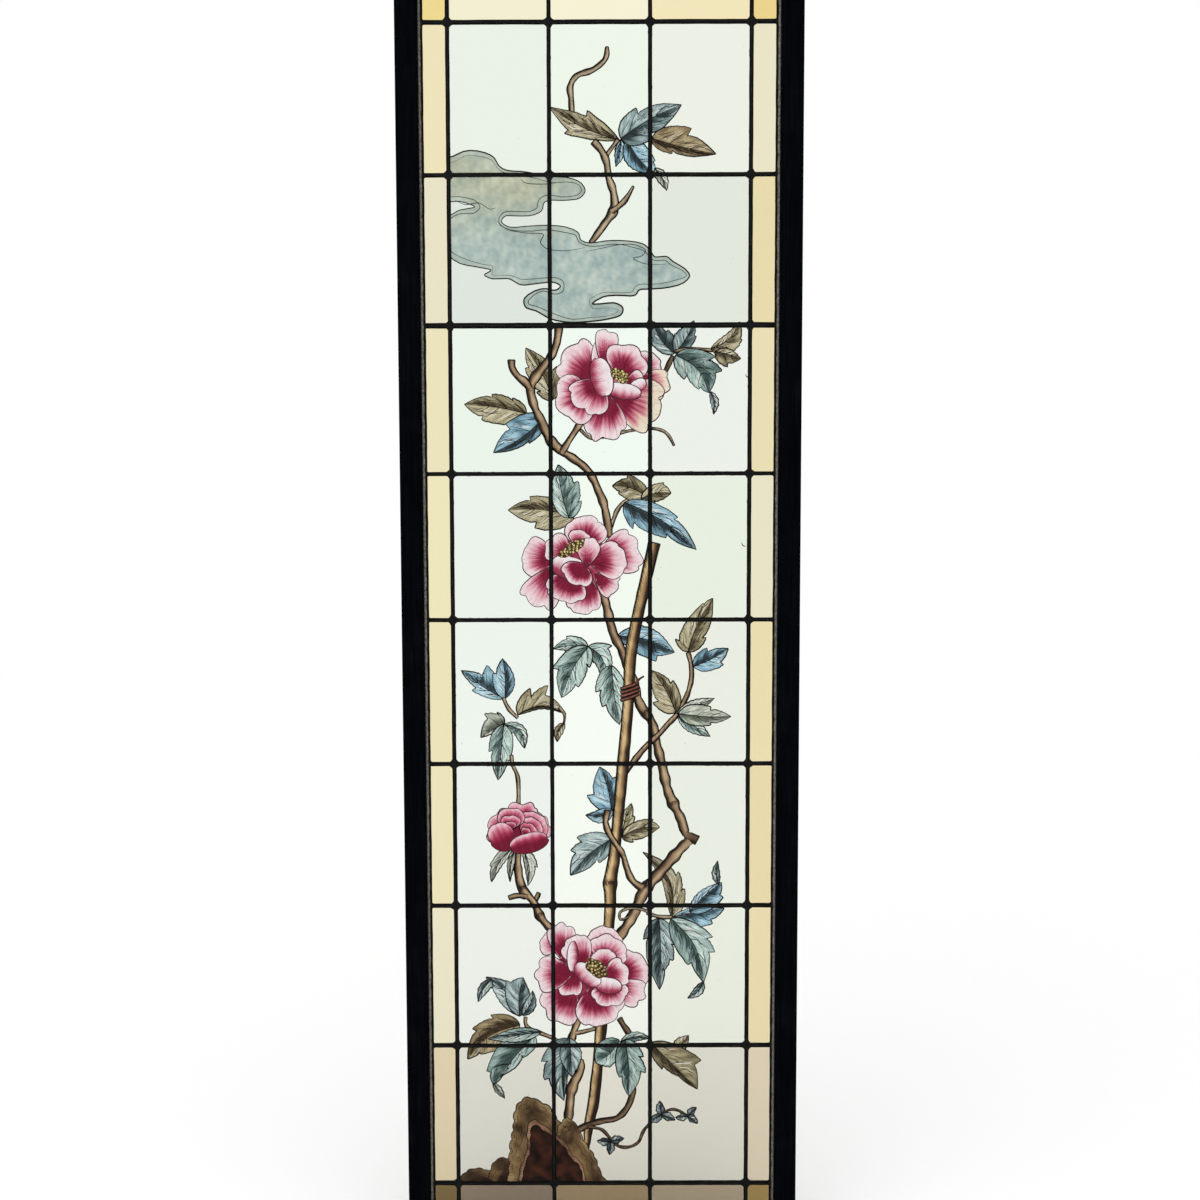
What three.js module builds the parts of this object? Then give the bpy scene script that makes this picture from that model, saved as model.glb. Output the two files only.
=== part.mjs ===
// A tall painted leaded window: a black wooden frame with a rebate, glazing beads behind, and
// fifty panes held in one soldered lattice of lead cames.
//
// Millimetres. X to the right, Z up, the front faces -Y. The origin is the middle of the
// bottom rail's underside, the face that the window stands on in its opening.

import * as THREE from 'three';

// ---- Driving dimensions ------------------------------------------------------------------

const ROWS = 8;
const COLUMN_PITCH = 132;
const ROW_PITCH = 195;
const STRIP_SIGHT = 29.25;

const CAME_FACE = 5.5;
const WIDE_CAME_FACE = 7.2;
const WIDE_CAME_UNDER_ROW = 2;
const EDGE_CAME_FACE = 10;
const HEART = 1.6;
const CAME_DEPTH = 6;
const CAME_FLANGE = 1.2;
const CAME_CHAMFER = 0.45;
const SOLDER_CUT = 2.6;
const HEART_CUT = 0.3;

const GLASS = 3;
const GLASS_GAP = 0.4;

const FRAME_FACE = 29.5;
const FRAME_DEPTH = 36;
const LIP_DEPTH = 12;
const LIP_COVER = 4.5;
const REBATE_CLEARANCE = 1;
const FRAME_ARRIS = 1.2;
const SIGHT_ARRIS = 2.4;

const BEAD_FACE = 7.7;
const BEAD_DEPTH = 11.4;
const BEAD_EDGE = 2.4;
const BEAD_SLOPE = 5;

const SEAT_GAP = 0.3;
const MITRE_GAP = 0.22;

// ---- Derived sizes -----------------------------------------------------------------------

const FRAME_FRONT = -FRAME_DEPTH / 2;
const FRAME_BACK = FRAME_DEPTH / 2;
const LIP_BACK = FRAME_FRONT + LIP_DEPTH;
const PANEL_INSET = FRAME_FACE - LIP_COVER;
const REBATE_WALL = PANEL_INSET - REBATE_CLEARANCE;
const LEAD_FRONT = LIP_BACK + SEAT_GAP;
const LEAD_BACK = LEAD_FRONT + CAME_DEPTH;
const GLASS_MIDDLE = LEAD_FRONT + CAME_DEPTH / 2;

// From the centre line of the first inner came out to the panel's edge
const STRIP_PITCH = CAME_FACE / 2 + STRIP_SIGHT + EDGE_CAME_FACE;
const PANEL_WIDTH = 3 * COLUMN_PITCH + 2 * STRIP_PITCH;
const PANEL_HEIGHT = ROWS * ROW_PITCH + 2 * STRIP_PITCH;
const FRAME_WIDTH = PANEL_WIDTH + 2 * PANEL_INSET;
const FRAME_HEIGHT = PANEL_HEIGHT + 2 * PANEL_INSET;

// ---- Materials ---------------------------------------------------------------------------

function finish(color, roughness, metalness, opacity = 1) {
  return new THREE.MeshStandardMaterial({
    color, roughness, metalness, opacity, transparent: opacity < 1,
  });
}

const framePaint = finish(0x060a11, 0.55, 0);
const lead = finish(0x24251f, 0.6, 0.6);
const clearGlass = finish(0xedf5ea, 0.05, 0, 0.35);
const strawGlass = finish(0xeee2b7, 0.05, 0, 0.5);
const amberGlass = finish(0xedd88b, 0.05, 0, 0.5);

// ---- Came lines --------------------------------------------------------------------------

// One straight came: its centre line and half the width of its face.
function came(at, face) {
  return { at, half: face / 2 };
}

// The cames across one direction, from the panel's near edge to its far edge.
function cameLines(start, length, pitch, count, faceOf) {
  const lines = [came(start + EDGE_CAME_FACE / 2, EDGE_CAME_FACE)];
  for (let i = 0; i <= count; i += 1) {
    lines.push(came(start + STRIP_PITCH + i * pitch, faceOf(i)));
  }
  lines.push(came(start + length - EDGE_CAME_FACE / 2, EDGE_CAME_FACE));
  return lines;
}

const uprights = cameLines(-PANEL_WIDTH / 2, PANEL_WIDTH, COLUMN_PITCH, 3, () => CAME_FACE);
const crossbars = cameLines(PANEL_INSET, PANEL_HEIGHT, ROW_PITCH, ROWS,
  (i) => (i === ROWS - WIDE_CAME_UNDER_ROW ? WIDE_CAME_FACE : CAME_FACE));

// ---- Lead lattice ------------------------------------------------------------------------

// A rectangle with its corners cut, as eight points counter-clockwise.
function cutRectangle(left, right, bottom, top, cut) {
  return [
    [left + cut, bottom], [right - cut, bottom], [right, bottom + cut], [right, top - cut],
    [right - cut, top], [left + cut, top], [left, top - cut], [left, bottom + cut],
  ].map(([x, z]) => new THREE.Vector2(x, z));
}

// The steps of a came's section from front to back: at each depth, how far the lattice's
// openings stand back from the edge of the face, or whether they reach the heart.
const cameSteps = [
  { y: LEAD_FRONT, inset: CAME_CHAMFER },
  { y: LEAD_FRONT + CAME_CHAMFER, inset: 0 },
  { y: LEAD_FRONT + CAME_FLANGE, inset: 0 },
  { y: LEAD_FRONT + CAME_FLANGE, heart: true },
  { y: LEAD_BACK - CAME_FLANGE, heart: true },
  { y: LEAD_BACK - CAME_FLANGE, inset: 0 },
  { y: LEAD_BACK - CAME_CHAMFER, inset: 0 },
  { y: LEAD_BACK, inset: CAME_CHAMFER },
];

function openingAt(step, left, right, bottom, top) {
  if (step.heart) {
    const half = HEART / 2;
    return cutRectangle(left.at + half, right.at - half, bottom.at + half, top.at - half,
      HEART_CUT);
  }
  return cutRectangle(
    left.at + left.half - step.inset, right.at - right.half + step.inset,
    bottom.at + bottom.half - step.inset, top.at - top.half + step.inset, SOLDER_CUT);
}

function rimAt(step) {
  const back = step.heart ? (EDGE_CAME_FACE - HEART) / 2 : step.inset;
  return cutRectangle(-PANEL_WIDTH / 2 + back, PANEL_WIDTH / 2 - back,
    PANEL_INSET + back, PANEL_INSET + PANEL_HEIGHT - back, HEART_CUT);
}

// All the cames as one soldered piece: a plate pierced by every cell, whose edges step in to
// the heart between the two faces, so that each pane sits in a channel.
function latticeGeometry() {
  const cells = [];
  for (let c = 0; c + 1 < uprights.length; c += 1) {
    for (let r = 0; r + 1 < crossbars.length; r += 1) {
      cells.push([uprights[c], uprights[c + 1], crossbars[r], crossbars[r + 1]]);
    }
  }
  const layers = cameSteps.map((step) => ({
    y: step.y,
    rings: [rimAt(step), ...cells.map((cell) => openingAt(step, ...cell))],
  }));
  const ringSize = layers[0].rings[0].length;
  const layerSize = ringSize * layers[0].rings.length;
  const points = layers.flatMap(({ y, rings }) => rings.flat().flatMap((p) => [p.x, y, p.y]));

  const faces = [];
  for (let layer = 0; layer + 1 < layers.length; layer += 1) {
    for (let ring = 0; ring < layers[0].rings.length; ring += 1) {
      const start = layer * layerSize + ring * ringSize;
      for (let i = 0; i < ringSize; i += 1) {
        const a = start + i;
        const b = start + (i + 1) % ringSize;
        const quad = [a, b, b + layerSize, a + layerSize];
        if (ring === 0) {
          quad.reverse();
        }
        faces.push(quad[0], quad[1], quad[2], quad[0], quad[2], quad[3]);
      }
    }
  }

  function cap(layer, facesBack) {
    const [rim, ...holes] = layers[layer].rings;
    for (const triangle of THREE.ShapeUtils.triangulateShape(rim, holes)) {
      const corners = triangle.map((i) => i + layer * layerSize);
      faces.push(...(facesBack ? corners.reverse() : corners));
    }
  }
  cap(0, false);
  cap(layers.length - 1, true);

  const geometry = new THREE.BufferGeometry();
  geometry.setAttribute('position', new THREE.Float32BufferAttribute(points, 3));
  geometry.setIndex(faces);
  geometry.computeVertexNormals();
  return geometry;
}

// ---- Panes -------------------------------------------------------------------------------

const COLUMN_NAMES = ['left', 'centre', 'right'];

// A pane's name and glass from its column (0 to 4) and its row counted from the top (0 to 9).
function paneKind(column, row) {
  const onSide = column === 0 || column === 4;
  const onEnd = row === 0 || row === ROWS + 1;
  const side = column === 0 ? 'left' : 'right';
  const end = row === 0 ? 'top' : 'bottom';
  if (onSide && onEnd) {
    return { name: `corner_${end}_${side}`, material: amberGlass };
  }
  if (onSide) {
    return { name: `${side}_strip_${row}`, material: strawGlass };
  }
  if (onEnd) {
    return { name: `${end}_strip_${COLUMN_NAMES[column - 1]}`, material: strawGlass };
  }
  return { name: `pane_${row}_${COLUMN_NAMES[column - 1]}`, material: clearGlass };
}

function pane(left, right, bottom, top, { name, material }) {
  const reach = HEART / 2 + GLASS_GAP;
  const width = right.at - left.at - 2 * reach;
  const height = top.at - bottom.at - 2 * reach;
  const mesh = new THREE.Mesh(new THREE.BoxGeometry(width, GLASS, height), material);
  mesh.name = name;
  mesh.position.set((left.at + right.at) / 2, GLASS_MIDDLE, (bottom.at + top.at) / 2);
  return mesh;
}

// ---- Frame and beads ---------------------------------------------------------------------

// A bar with its ends mitred. The section is a list of [distance in from the frame's outer
// edge, depth], clockwise as seen from the bar's start.
function mitredBar(section, length) {
  const points = [];
  for (const [inward, y] of section) {
    points.push(inward + MITRE_GAP, y, inward);
  }
  for (const [inward, y] of section) {
    points.push(length - inward - MITRE_GAP, y, inward);
  }
  const count = section.length;
  const faces = [];
  for (let i = 0; i < count; i += 1) {
    const next = (i + 1) % count;
    faces.push(i, next, next + count, i, next + count, i + count);
  }
  const outline = section.map(([inward, y]) => new THREE.Vector2(inward, y));
  for (const [a, b, c] of THREE.ShapeUtils.triangulateShape(outline, [])) {
    faces.push(a, b, c, a + count, c + count, b + count);
  }
  const geometry = new THREE.BufferGeometry();
  geometry.setAttribute('position', new THREE.Float32BufferAttribute(points, 3));
  geometry.setIndex(faces);
  geometry.computeVertexNormals();
  return geometry;
}

const frameSection = [
  [FRAME_ARRIS, FRAME_FRONT], [0, FRAME_FRONT + FRAME_ARRIS],
  [0, FRAME_BACK], [REBATE_WALL, FRAME_BACK],
  [REBATE_WALL, LIP_BACK], [FRAME_FACE, LIP_BACK],
  [FRAME_FACE, FRAME_FRONT + SIGHT_ARRIS], [FRAME_FACE - SIGHT_ARRIS, FRAME_FRONT],
];

const BEAD_OUTER = REBATE_WALL + SEAT_GAP;
const BEAD_FRONT = LEAD_BACK + SEAT_GAP;
const beadSection = [
  [BEAD_OUTER, BEAD_FRONT], [BEAD_OUTER, BEAD_FRONT + BEAD_DEPTH],
  [BEAD_OUTER + BEAD_FACE - BEAD_SLOPE, BEAD_FRONT + BEAD_DEPTH],
  [BEAD_OUTER + BEAD_FACE, BEAD_FRONT + BEAD_EDGE],
  [BEAD_OUTER + BEAD_FACE, BEAD_FRONT],
];

// The four sides of a mitred frame, each turned and moved to its own edge.
function fourSides(section, nameOf) {
  const sides = [
    { side: 'bottom', length: FRAME_WIDTH, x: -FRAME_WIDTH / 2, z: 0, turn: 0 },
    { side: 'right', length: FRAME_HEIGHT, x: FRAME_WIDTH / 2, z: 0, turn: -Math.PI / 2 },
    { side: 'top', length: FRAME_WIDTH, x: FRAME_WIDTH / 2, z: FRAME_HEIGHT, turn: Math.PI },
    { side: 'left', length: FRAME_HEIGHT, x: -FRAME_WIDTH / 2, z: FRAME_HEIGHT, turn: Math.PI / 2 },
  ];
  return sides.map(({ side, length, x, z, turn }) => {
    const mesh = new THREE.Mesh(mitredBar(section, length), framePaint);
    mesh.name = nameOf(side);
    mesh.position.set(x, 0, z);
    mesh.rotation.y = turn;
    return mesh;
  });
}

function frameMemberName(side) {
  return side === 'top' || side === 'bottom' ? `frame_rail_${side}` : `frame_stile_${side}`;
}

// ---- The window --------------------------------------------------------------------------

const stainedGlassWindow = new THREE.Group();

stainedGlassWindow.add(...fourSides(frameSection, frameMemberName));
stainedGlassWindow.add(...fourSides(beadSection, (side) => `glazing_bead_${side}`));

const lattice = new THREE.Mesh(latticeGeometry(), lead);
lattice.name = 'lead_came_lattice';
stainedGlassWindow.add(lattice);

for (let row = 0; row <= ROWS + 1; row += 1) {
  const top = crossbars[crossbars.length - 1 - row];
  const bottom = crossbars[crossbars.length - 2 - row];
  for (let column = 0; column + 1 < uprights.length; column += 1) {
    stainedGlassWindow.add(
      pane(uprights[column], uprights[column + 1], bottom, top, paneKind(column, row)));
  }
}

export default stainedGlassWindow;
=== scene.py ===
"""Looks of a painted leaded glass window: black frame, lead cames, tinted panes and enamel painting.

Everything sits in the CAD frame, in metres: x to the right, y to the back, z up.
The painting is worked out in millimetres on the plane of the glass, where a place is a complex
number, x + z j. Functions draw its leaves, petals, branches, cloud and rocks. The calls under
"The picture" give their places, sizes and tones, the leaves' lobes, and the outlines of the cloud
and the rocks, which were read off the photograph.
"""

import math

import bpy
import numpy as np
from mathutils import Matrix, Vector
from mathutils.geometry import delaunay_2d_cdt


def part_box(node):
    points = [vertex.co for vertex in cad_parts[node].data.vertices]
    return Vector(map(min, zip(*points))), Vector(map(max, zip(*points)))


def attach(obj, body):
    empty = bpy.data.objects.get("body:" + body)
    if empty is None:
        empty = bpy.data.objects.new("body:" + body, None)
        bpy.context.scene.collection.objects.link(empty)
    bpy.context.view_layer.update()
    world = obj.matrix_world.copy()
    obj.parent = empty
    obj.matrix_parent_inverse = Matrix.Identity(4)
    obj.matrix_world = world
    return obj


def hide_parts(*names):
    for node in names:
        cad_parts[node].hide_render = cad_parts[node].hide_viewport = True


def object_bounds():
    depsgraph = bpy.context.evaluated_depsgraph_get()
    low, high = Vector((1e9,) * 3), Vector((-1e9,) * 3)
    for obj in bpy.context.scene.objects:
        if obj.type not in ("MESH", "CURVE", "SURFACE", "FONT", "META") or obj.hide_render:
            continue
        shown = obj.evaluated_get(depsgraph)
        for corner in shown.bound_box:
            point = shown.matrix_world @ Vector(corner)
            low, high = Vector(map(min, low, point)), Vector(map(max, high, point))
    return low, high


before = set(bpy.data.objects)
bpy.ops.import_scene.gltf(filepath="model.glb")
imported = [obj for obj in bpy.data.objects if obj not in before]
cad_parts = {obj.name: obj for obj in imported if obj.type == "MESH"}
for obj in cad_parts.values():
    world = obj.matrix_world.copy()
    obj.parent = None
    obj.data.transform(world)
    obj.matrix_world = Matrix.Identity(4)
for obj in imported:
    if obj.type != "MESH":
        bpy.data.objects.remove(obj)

CAD_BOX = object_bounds()
MM = 0.001
ROWS = range(1, 9)
COLUMNS = ("left", "centre", "right")
SEED = 1881
rng = np.random.default_rng(SEED)


def draw(least, most):
    return float(rng.uniform(least, most))


# ---------------------------------------------------------------- places read from the CAD frame


def low(node, axis):
    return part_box(node)[0][axis] / MM


def high(node, axis):
    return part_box(node)[1][axis] / MM


def between(first, second, axis):
    """The came's middle line between two neighbouring panes."""
    return (high(first, axis) + low(second, axis)) / 2


COLUMN_LINES = [
    between("left_strip_1", "pane_1_left", 0),
    between("pane_1_left", "pane_1_centre", 0),
    between("pane_1_centre", "pane_1_right", 0),
    between("pane_1_right", "right_strip_1", 0),
]
ROW_LINES = [between("pane_1_left", "top_strip_left", 2)]
ROW_LINES += [between(f"pane_{row + 1}_left", f"pane_{row}_left", 2) for row in ROWS[:-1]]
ROW_LINES += [between("bottom_strip_left", "pane_8_left", 2)]

PANEL_LEFT, PANEL_RIGHT = low("lead_came_lattice", 0), high("lead_came_lattice", 0)
PANEL_BOTTOM, PANEL_TOP = low("lead_came_lattice", 2), high("lead_came_lattice", 2)
LEAD_FRONT, LEAD_BACK = low("lead_came_lattice", 1), high("lead_came_lattice", 1)
GLASS_FRONT = low("pane_1_centre", 1)

# The leads, in mm. WIDE_CAME_LINE is the number of the wider one's row line, counted from 0.
CAME_FACE, WIDE_CAME_FACE, EDGE_CAME_FACE = 5.5, 7.2, 10.0
WIDE_CAME_LINE = 2
HEART = 1.6
FLANGE = 1.2
CAME_MIDDLE = (LEAD_FRONT + LEAD_BACK) / 2
# The round back of a came's flange: how far across, as a share of half its width, and how far out
# from its edges, in mm.
CROWN_ACROSS = np.array([1.0, 0.98, 0.8, 0.42, 0.0, -0.42, -0.8, -0.98, -1.0])
CROWN_RISE = np.array([0.0, 0.45, 0.86, 1.06, 1.12, 1.06, 0.86, 0.45, 0.0])
# How deep the painted highlight on each came's crown fades in, in mm.
CROWN_HIGHLIGHT_BAND = 0.16
CAME_STEP = 9
CAME_UNEVEN, CAME_DRIFT, CAME_DENT = 0.035, 0.12, 0.02
SOLDER_REACH = 7.0
# A pool of solder from its edge to its middle: the share of its reach, and the rise over the lead.
SOLDER_RINGS = ((1.0, -1.1), (0.98, -0.55), (0.82, -0.05), (0.5, 0.13), (0.2, 0.16))
PUTTY_WIDTH, PUTTY_THICK, PUTTY_GAP = 3.0, 2.2, 0.3

# ---------------------------------------------------------------- materials


def linear(colour):
    """sRGB numbers of 0 to 255 as the linear ones that shaders take."""
    c = np.asarray(colour, float) / 255
    return np.where(c <= 0.04045, c / 12.92, ((c + 0.055) / 1.055) ** 2.4)


def rgba(colour):
    return (*(float(c) for c in linear(colour)), 1.0)


class Shader:
    """A Principled material and the few node chains that this script uses."""

    def __init__(self, name, colour, roughness, specular):
        self.material = bpy.data.materials.new(name)
        self.material.use_nodes = True
        self.tree = self.material.node_tree
        self.bsdf = self.tree.nodes["Principled BSDF"]
        self.set("Base Color", rgba(colour))
        self.set("Roughness", roughness)
        self.set("Specular IOR Level", specular)

    def set(self, socket, value):
        self.bsdf.inputs[socket].default_value = value

    def node(self, kind, **values):
        made = self.tree.nodes.new(kind)
        for key, value in values.items():
            if key in made.inputs:
                made.inputs[key].default_value = value
            else:
                setattr(made, key, value)
        return made

    def link(self, source, target):
        self.tree.links.new(source, target)

    def noise(self, scale, stretch=(1, 1, 1), detail=4.0, rough=0.55):
        place = self.node("ShaderNodeTexCoord")
        mapping = self.node("ShaderNodeMapping")
        mapping.inputs["Scale"].default_value = stretch
        self.link(place.outputs["Object"], mapping.inputs["Vector"])
        found = self.node("ShaderNodeTexNoise", Scale=scale, Detail=detail, Roughness=rough)
        self.link(mapping.outputs["Vector"], found.inputs["Vector"])
        return found.outputs["Fac"]

    def ramp(self, factor, stops):
        made = self.node("ShaderNodeValToRGB")
        ramp = made.color_ramp
        while len(ramp.elements) < len(stops):
            ramp.elements.new(0.5)
        for element, (at, colour) in zip(ramp.elements, stops):
            element.position = at
            element.color = rgba(colour)
        self.link(factor, made.inputs["Fac"])
        return made.outputs["Color"]

    def blend(self, factor, first, second, kind="MIX"):
        made = self.node("ShaderNodeMix", data_type="RGBA", blend_type=kind)
        # A Mix node of colours has its factor, first and second colour at sockets 0, 6 and 7.
        for source, number in ((factor, 0), (first, 6), (second, 7)):
            if hasattr(source, "links"):
                self.link(source, made.inputs[number])
            else:
                made.inputs[number].default_value = source
        return made.outputs[2]

    def mottle(self, scale, detail, stops):
        """Colours between the stops, in soft patches."""
        return self.ramp(self.noise(scale, detail=detail), stops)

    def colour_by(self, colour):
        self.link(colour, self.bsdf.inputs["Base Color"])

    def bump(self, height, distance, strength):
        made = self.node("ShaderNodeBump", Strength=strength, Distance=distance)
        self.link(height, made.inputs["Height"])
        self.link(made.outputs["Normal"], self.bsdf.inputs["Normal"])


def frame_paint(name, stretch):
    """Old black paint on wood, brushed along the bar, its colour darker than black paint is: painted shade,
    as of a frame seen against the light.
    """
    s = Shader(name, (3, 6, 11), 0.6, 0.015)
    # Painted shade and random tone: patches of paint kept near black, darker than real paint, as an unlit
    # frame front.
    wear_and_shade = s.mottle(26, 6, [(0.3, (2, 4, 8)), (0.55, (4, 7, 12)), (0.8, (11, 14, 18))])
    streaks = s.noise(420, stretch, detail=3)
    grain = s.ramp(streaks, [(0.35, (150, 150, 150)), (0.65, (255, 255, 255))])
    s.colour_by(s.blend(1.0, wear_and_shade, grain, "MULTIPLY"))
    s.bump(streaks, 0.00025, 0.8)
    return s.material


def patinated_lead_painted_highlight():
    """Nearly black lead, with a painted highlight: a faint lighter line along the crown of each came, front
    and back.
    """
    s = Shader("patinated_lead_painted_highlight", (12, 12, 12), 0.55, 0.06)
    patches = s.mottle(90, 7, [(0.3, (26, 27, 26)), (0.55, (44, 45, 43)), (0.78, (72, 73, 70))])
    place = s.node("ShaderNodeTexCoord")
    axes = s.node("ShaderNodeSeparateXYZ")
    s.link(place.outputs["Object"], axes.inputs[0])
    away = s.node("ShaderNodeMath", operation="SUBTRACT")
    s.link(axes.outputs["Y"], away.inputs[0])
    away.inputs[1].default_value = CAME_MIDDLE * MM
    far = s.node("ShaderNodeMath", operation="ABSOLUTE")
    s.link(away.outputs[0], far.inputs[0])
    # Painted highlight: the lead turns lighter near the top of each came's crown, front and back.
    crown = s.node("ShaderNodeMapRange")
    crown.inputs["From Min"].default_value = ((LEAD_BACK - LEAD_FRONT) / 2 - CROWN_HIGHLIGHT_BAND) * MM
    crown.inputs["From Max"].default_value = (LEAD_BACK - LEAD_FRONT) / 2 * MM
    s.link(far.outputs[0], crown.inputs["Value"])
    s.colour_by(s.blend(crown.outputs["Result"], rgba((8, 8, 8)), patches))
    s.bump(s.noise(700, detail=5), 0.00012, 0.7)
    return s.material


def mottled(name, colour, roughness, specular, patch_scale, stops, bump_scale, bump_depth):
    """A dull surface with patches of colour between the stops, and a finer relief."""
    s = Shader(name, colour, roughness, specular)
    s.colour_by(s.mottle(patch_scale, 6, stops))
    s.bump(s.noise(bump_scale), bump_depth, 0.8)
    return s.material


GLASS_RIPPLE = 9


def glass(name, colour):
    """Clear drawn glass: plain colour, transmission and roughness, and a slow ripple in its surface."""
    s = Shader(name, colour, 0.02, 0.5)
    s.set("Transmission Weight", 1.0)
    s.set("IOR", 1.5)
    s.bump(s.noise(GLASS_RIPPLE, (1, 1, 0.6), detail=1.5, rough=0.4), 0.0006, 0.35)
    return s.material


def enamel_wash():
    """Thin fired paint: the picture's colours, mottled as a brushed wash is."""
    s = Shader("enamel_wash", (150, 150, 140), 0.6, 0.08)
    paint = s.node("ShaderNodeVertexColor", layer_name="paint")
    mottle = s.mottle(170, 6, [(0.3, (238, 238, 238)), (0.5, (250, 250, 250)), (0.7, (255, 255, 255))])
    s.colour_by(s.blend(1.0, paint.outputs["Color"], mottle, "MULTIPLY"))
    return s.material


FRAME_UPRIGHT = frame_paint("frame_paint_upright", (1, 1, 0.04))
FRAME_LEVEL = frame_paint("frame_paint_level", (0.04, 1, 1))
LEAD = patinated_lead_painted_highlight()
DULL_SOLDER = mottled(
    "dull_solder", (15, 16, 15), 0.5, 0.08,
    150, [(0.35, (9, 9, 9)), (0.6, (17, 18, 17)), (0.85, (34, 35, 33))], 600, 0.00015,
)
PUTTY = mottled(
    "grey_putty", (110, 106, 100), 0.85, 0.1,
    260, [(0.3, (70, 66, 60)), (0.5, (112, 108, 101)), (0.75, (150, 146, 138))], 520, 0.0003,
)
WASH = enamel_wash()

# Each kind of painted line: its colour, and how far it stands in front of the glass, in mm.
INKS = {
    "pale": ((226, 222, 212), 0.075),
    "rose": ((176, 96, 112), 0.085),
    "crimson": ((118, 26, 52), 0.090),
    "slate": ((42, 52, 56), 0.095),
    "moss": ((98, 106, 92), 0.098),
    "umber": ((48, 35, 22), 0.100),
    "plum": ((66, 34, 42), 0.120),
    "black": ((26, 22, 19), 0.130),
}
INK_MATERIALS = [Shader(f"ink_{kind}", colour, 0.5, 0.1).material for kind, (colour, _) in INKS.items()]

# ---------------------------------------------------------------- meshes


def piece(name, vertices, faces, materials, marks=None, smooth=False):
    """A mesh object in metres that rides on the window. marks is each face's material number."""
    mesh = bpy.data.meshes.new(name)
    mesh.from_pydata([tuple(v) for v in np.asarray(vertices) * MM], [], faces)
    for material in materials:
        mesh.materials.append(material)
    if marks is not None:
        mesh.polygons.foreach_set("material_index", np.asarray(marks, np.int32))
    mesh.polygons.foreach_set("use_smooth", np.full(len(mesh.polygons), smooth))
    mesh.update()
    made = bpy.data.objects.new(name, mesh)
    bpy.context.scene.collection.objects.link(made)
    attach(made, "root")
    return made


class Solid:
    """Gathers the vertices and faces of many small forms into one mesh."""

    def __init__(self):
        self.vertices = []
        self.faces = []
        self.marks = []

    def loft(self, rings, mark=0):
        """Joins rings of equal count into a closed skin with flat ends. mark is its material number."""
        count = len(rings[0])
        start = len(self.vertices)
        for ring in rings:
            self.vertices.extend(ring)
        last = len(self.vertices) - count
        for a in range(start, last, count):
            b = a + count
            for k in range(count):
                m = (k + 1) % count
                self.faces.append((a + k, a + m, b + m, b + k))
        self.faces.append(tuple(range(start + count - 1, start - 1, -1)))
        self.faces.append(tuple(range(last, last + count)))
        self.marks.extend([mark] * (last - start + 2))


def wobble(places, phase, length=60.0):
    """A slow unevenness between -1 and 1 along a bar, with no random draws."""
    t = np.asarray(places) / length
    return 0.6 * np.sin(6.1 * t + phase) + 0.4 * np.sin(14.7 * t + 2.3 * phase)


def came(solid, start, end, face, phase):
    """One length of came between two places on the panel, with a slightly uneven crown and edges."""
    length = abs(end - start)
    along = (end - start) / length
    sideways = along * 1j
    flange, heart = face / 2 * CROWN_ACROSS, HEART / 2
    across = np.concatenate([flange, [-heart, -heart], flange[::-1], [heart, heart]])
    inner = [LEAD_FRONT + FLANGE, LEAD_BACK - FLANGE]
    depth = np.concatenate([inner[0] - CROWN_RISE, inner, inner[1] + CROWN_RISE, inner[::-1]])
    rings = []
    for t in np.linspace(0, length, max(2, int(length / CAME_STEP))):
        uneven = 1 + CAME_UNEVEN * wobble(t, phase)
        drift = CAME_DRIFT * wobble(t, phase + 1.7, 110)
        dent = CAME_DENT * (1 + wobble(t, phase + 3.1, 35))
        sunk = depth + np.where(depth < CAME_MIDDLE, dent, -dent) * (np.abs(across) < face / 2.1)
        place = start + along * t + sideways * (across * uneven + drift)
        rings.append(list(zip(place.real, sunk, place.imag)))
    solid.loft(rings)


def solder(solid, centre, phase):
    """A flattened pool of solder over a joint, front and back."""
    turns = np.arange(16) * math.tau / 16
    uneven = 0.04 * np.sin(3 * turns + phase) + 0.03 * np.sin(5 * turns - phase)
    edge = SOLDER_REACH * (1 + 0.13 * np.cos(4 * turns) + uneven)
    for surface, out in ((LEAD_FRONT, -1), (LEAD_BACK, 1)):
        rings = []
        for size, rise in SOLDER_RINGS:
            place = centre + size * edge * np.exp(1j * turns)
            rings.append([(x, surface + out * rise, z) for x, z in zip(place.real, place.imag)])
        solid.loft(rings, 1)


def lead_lattice():
    """Every came and the solder at every crossing, in place of the CAD lattice."""
    solid = Solid()
    outer = EDGE_CAME_FACE / 2
    left, right = PANEL_LEFT + outer, PANEL_RIGHT - outer
    bottom, top = PANEL_BOTTOM + outer, PANEL_TOP - outer
    verticals = [left, *COLUMN_LINES, right]
    levels = [top, *ROW_LINES, bottom]
    for k, x in enumerate(verticals):
        face = EDGE_CAME_FACE if x in (left, right) else CAME_FACE
        came(solid, complex(x, PANEL_BOTTOM), complex(x, PANEL_TOP), face, 0.9 * k)
    faces = [EDGE_CAME_FACE, *[CAME_FACE] * len(ROW_LINES), EDGE_CAME_FACE]
    faces[WIDE_CAME_LINE + 1] = WIDE_CAME_FACE
    for j, (z, face) in enumerate(zip(levels, faces)):
        for k, (x0, x1) in enumerate(zip(verticals, verticals[1:])):
            came(solid, complex(x0, z), complex(x1, z), face, 1.3 * j + 0.7 * k)
    for j, z in enumerate(levels):
        for k, x in enumerate(verticals):
            solder(solid, complex(x, z), 1.1 * j + 2.1 * k)
    materials = [LEAD, DULL_SOLDER]
    made = piece("lead_cames_and_solder", solid.vertices, solid.faces, materials, solid.marks, True)
    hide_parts("lead_came_lattice")


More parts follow.
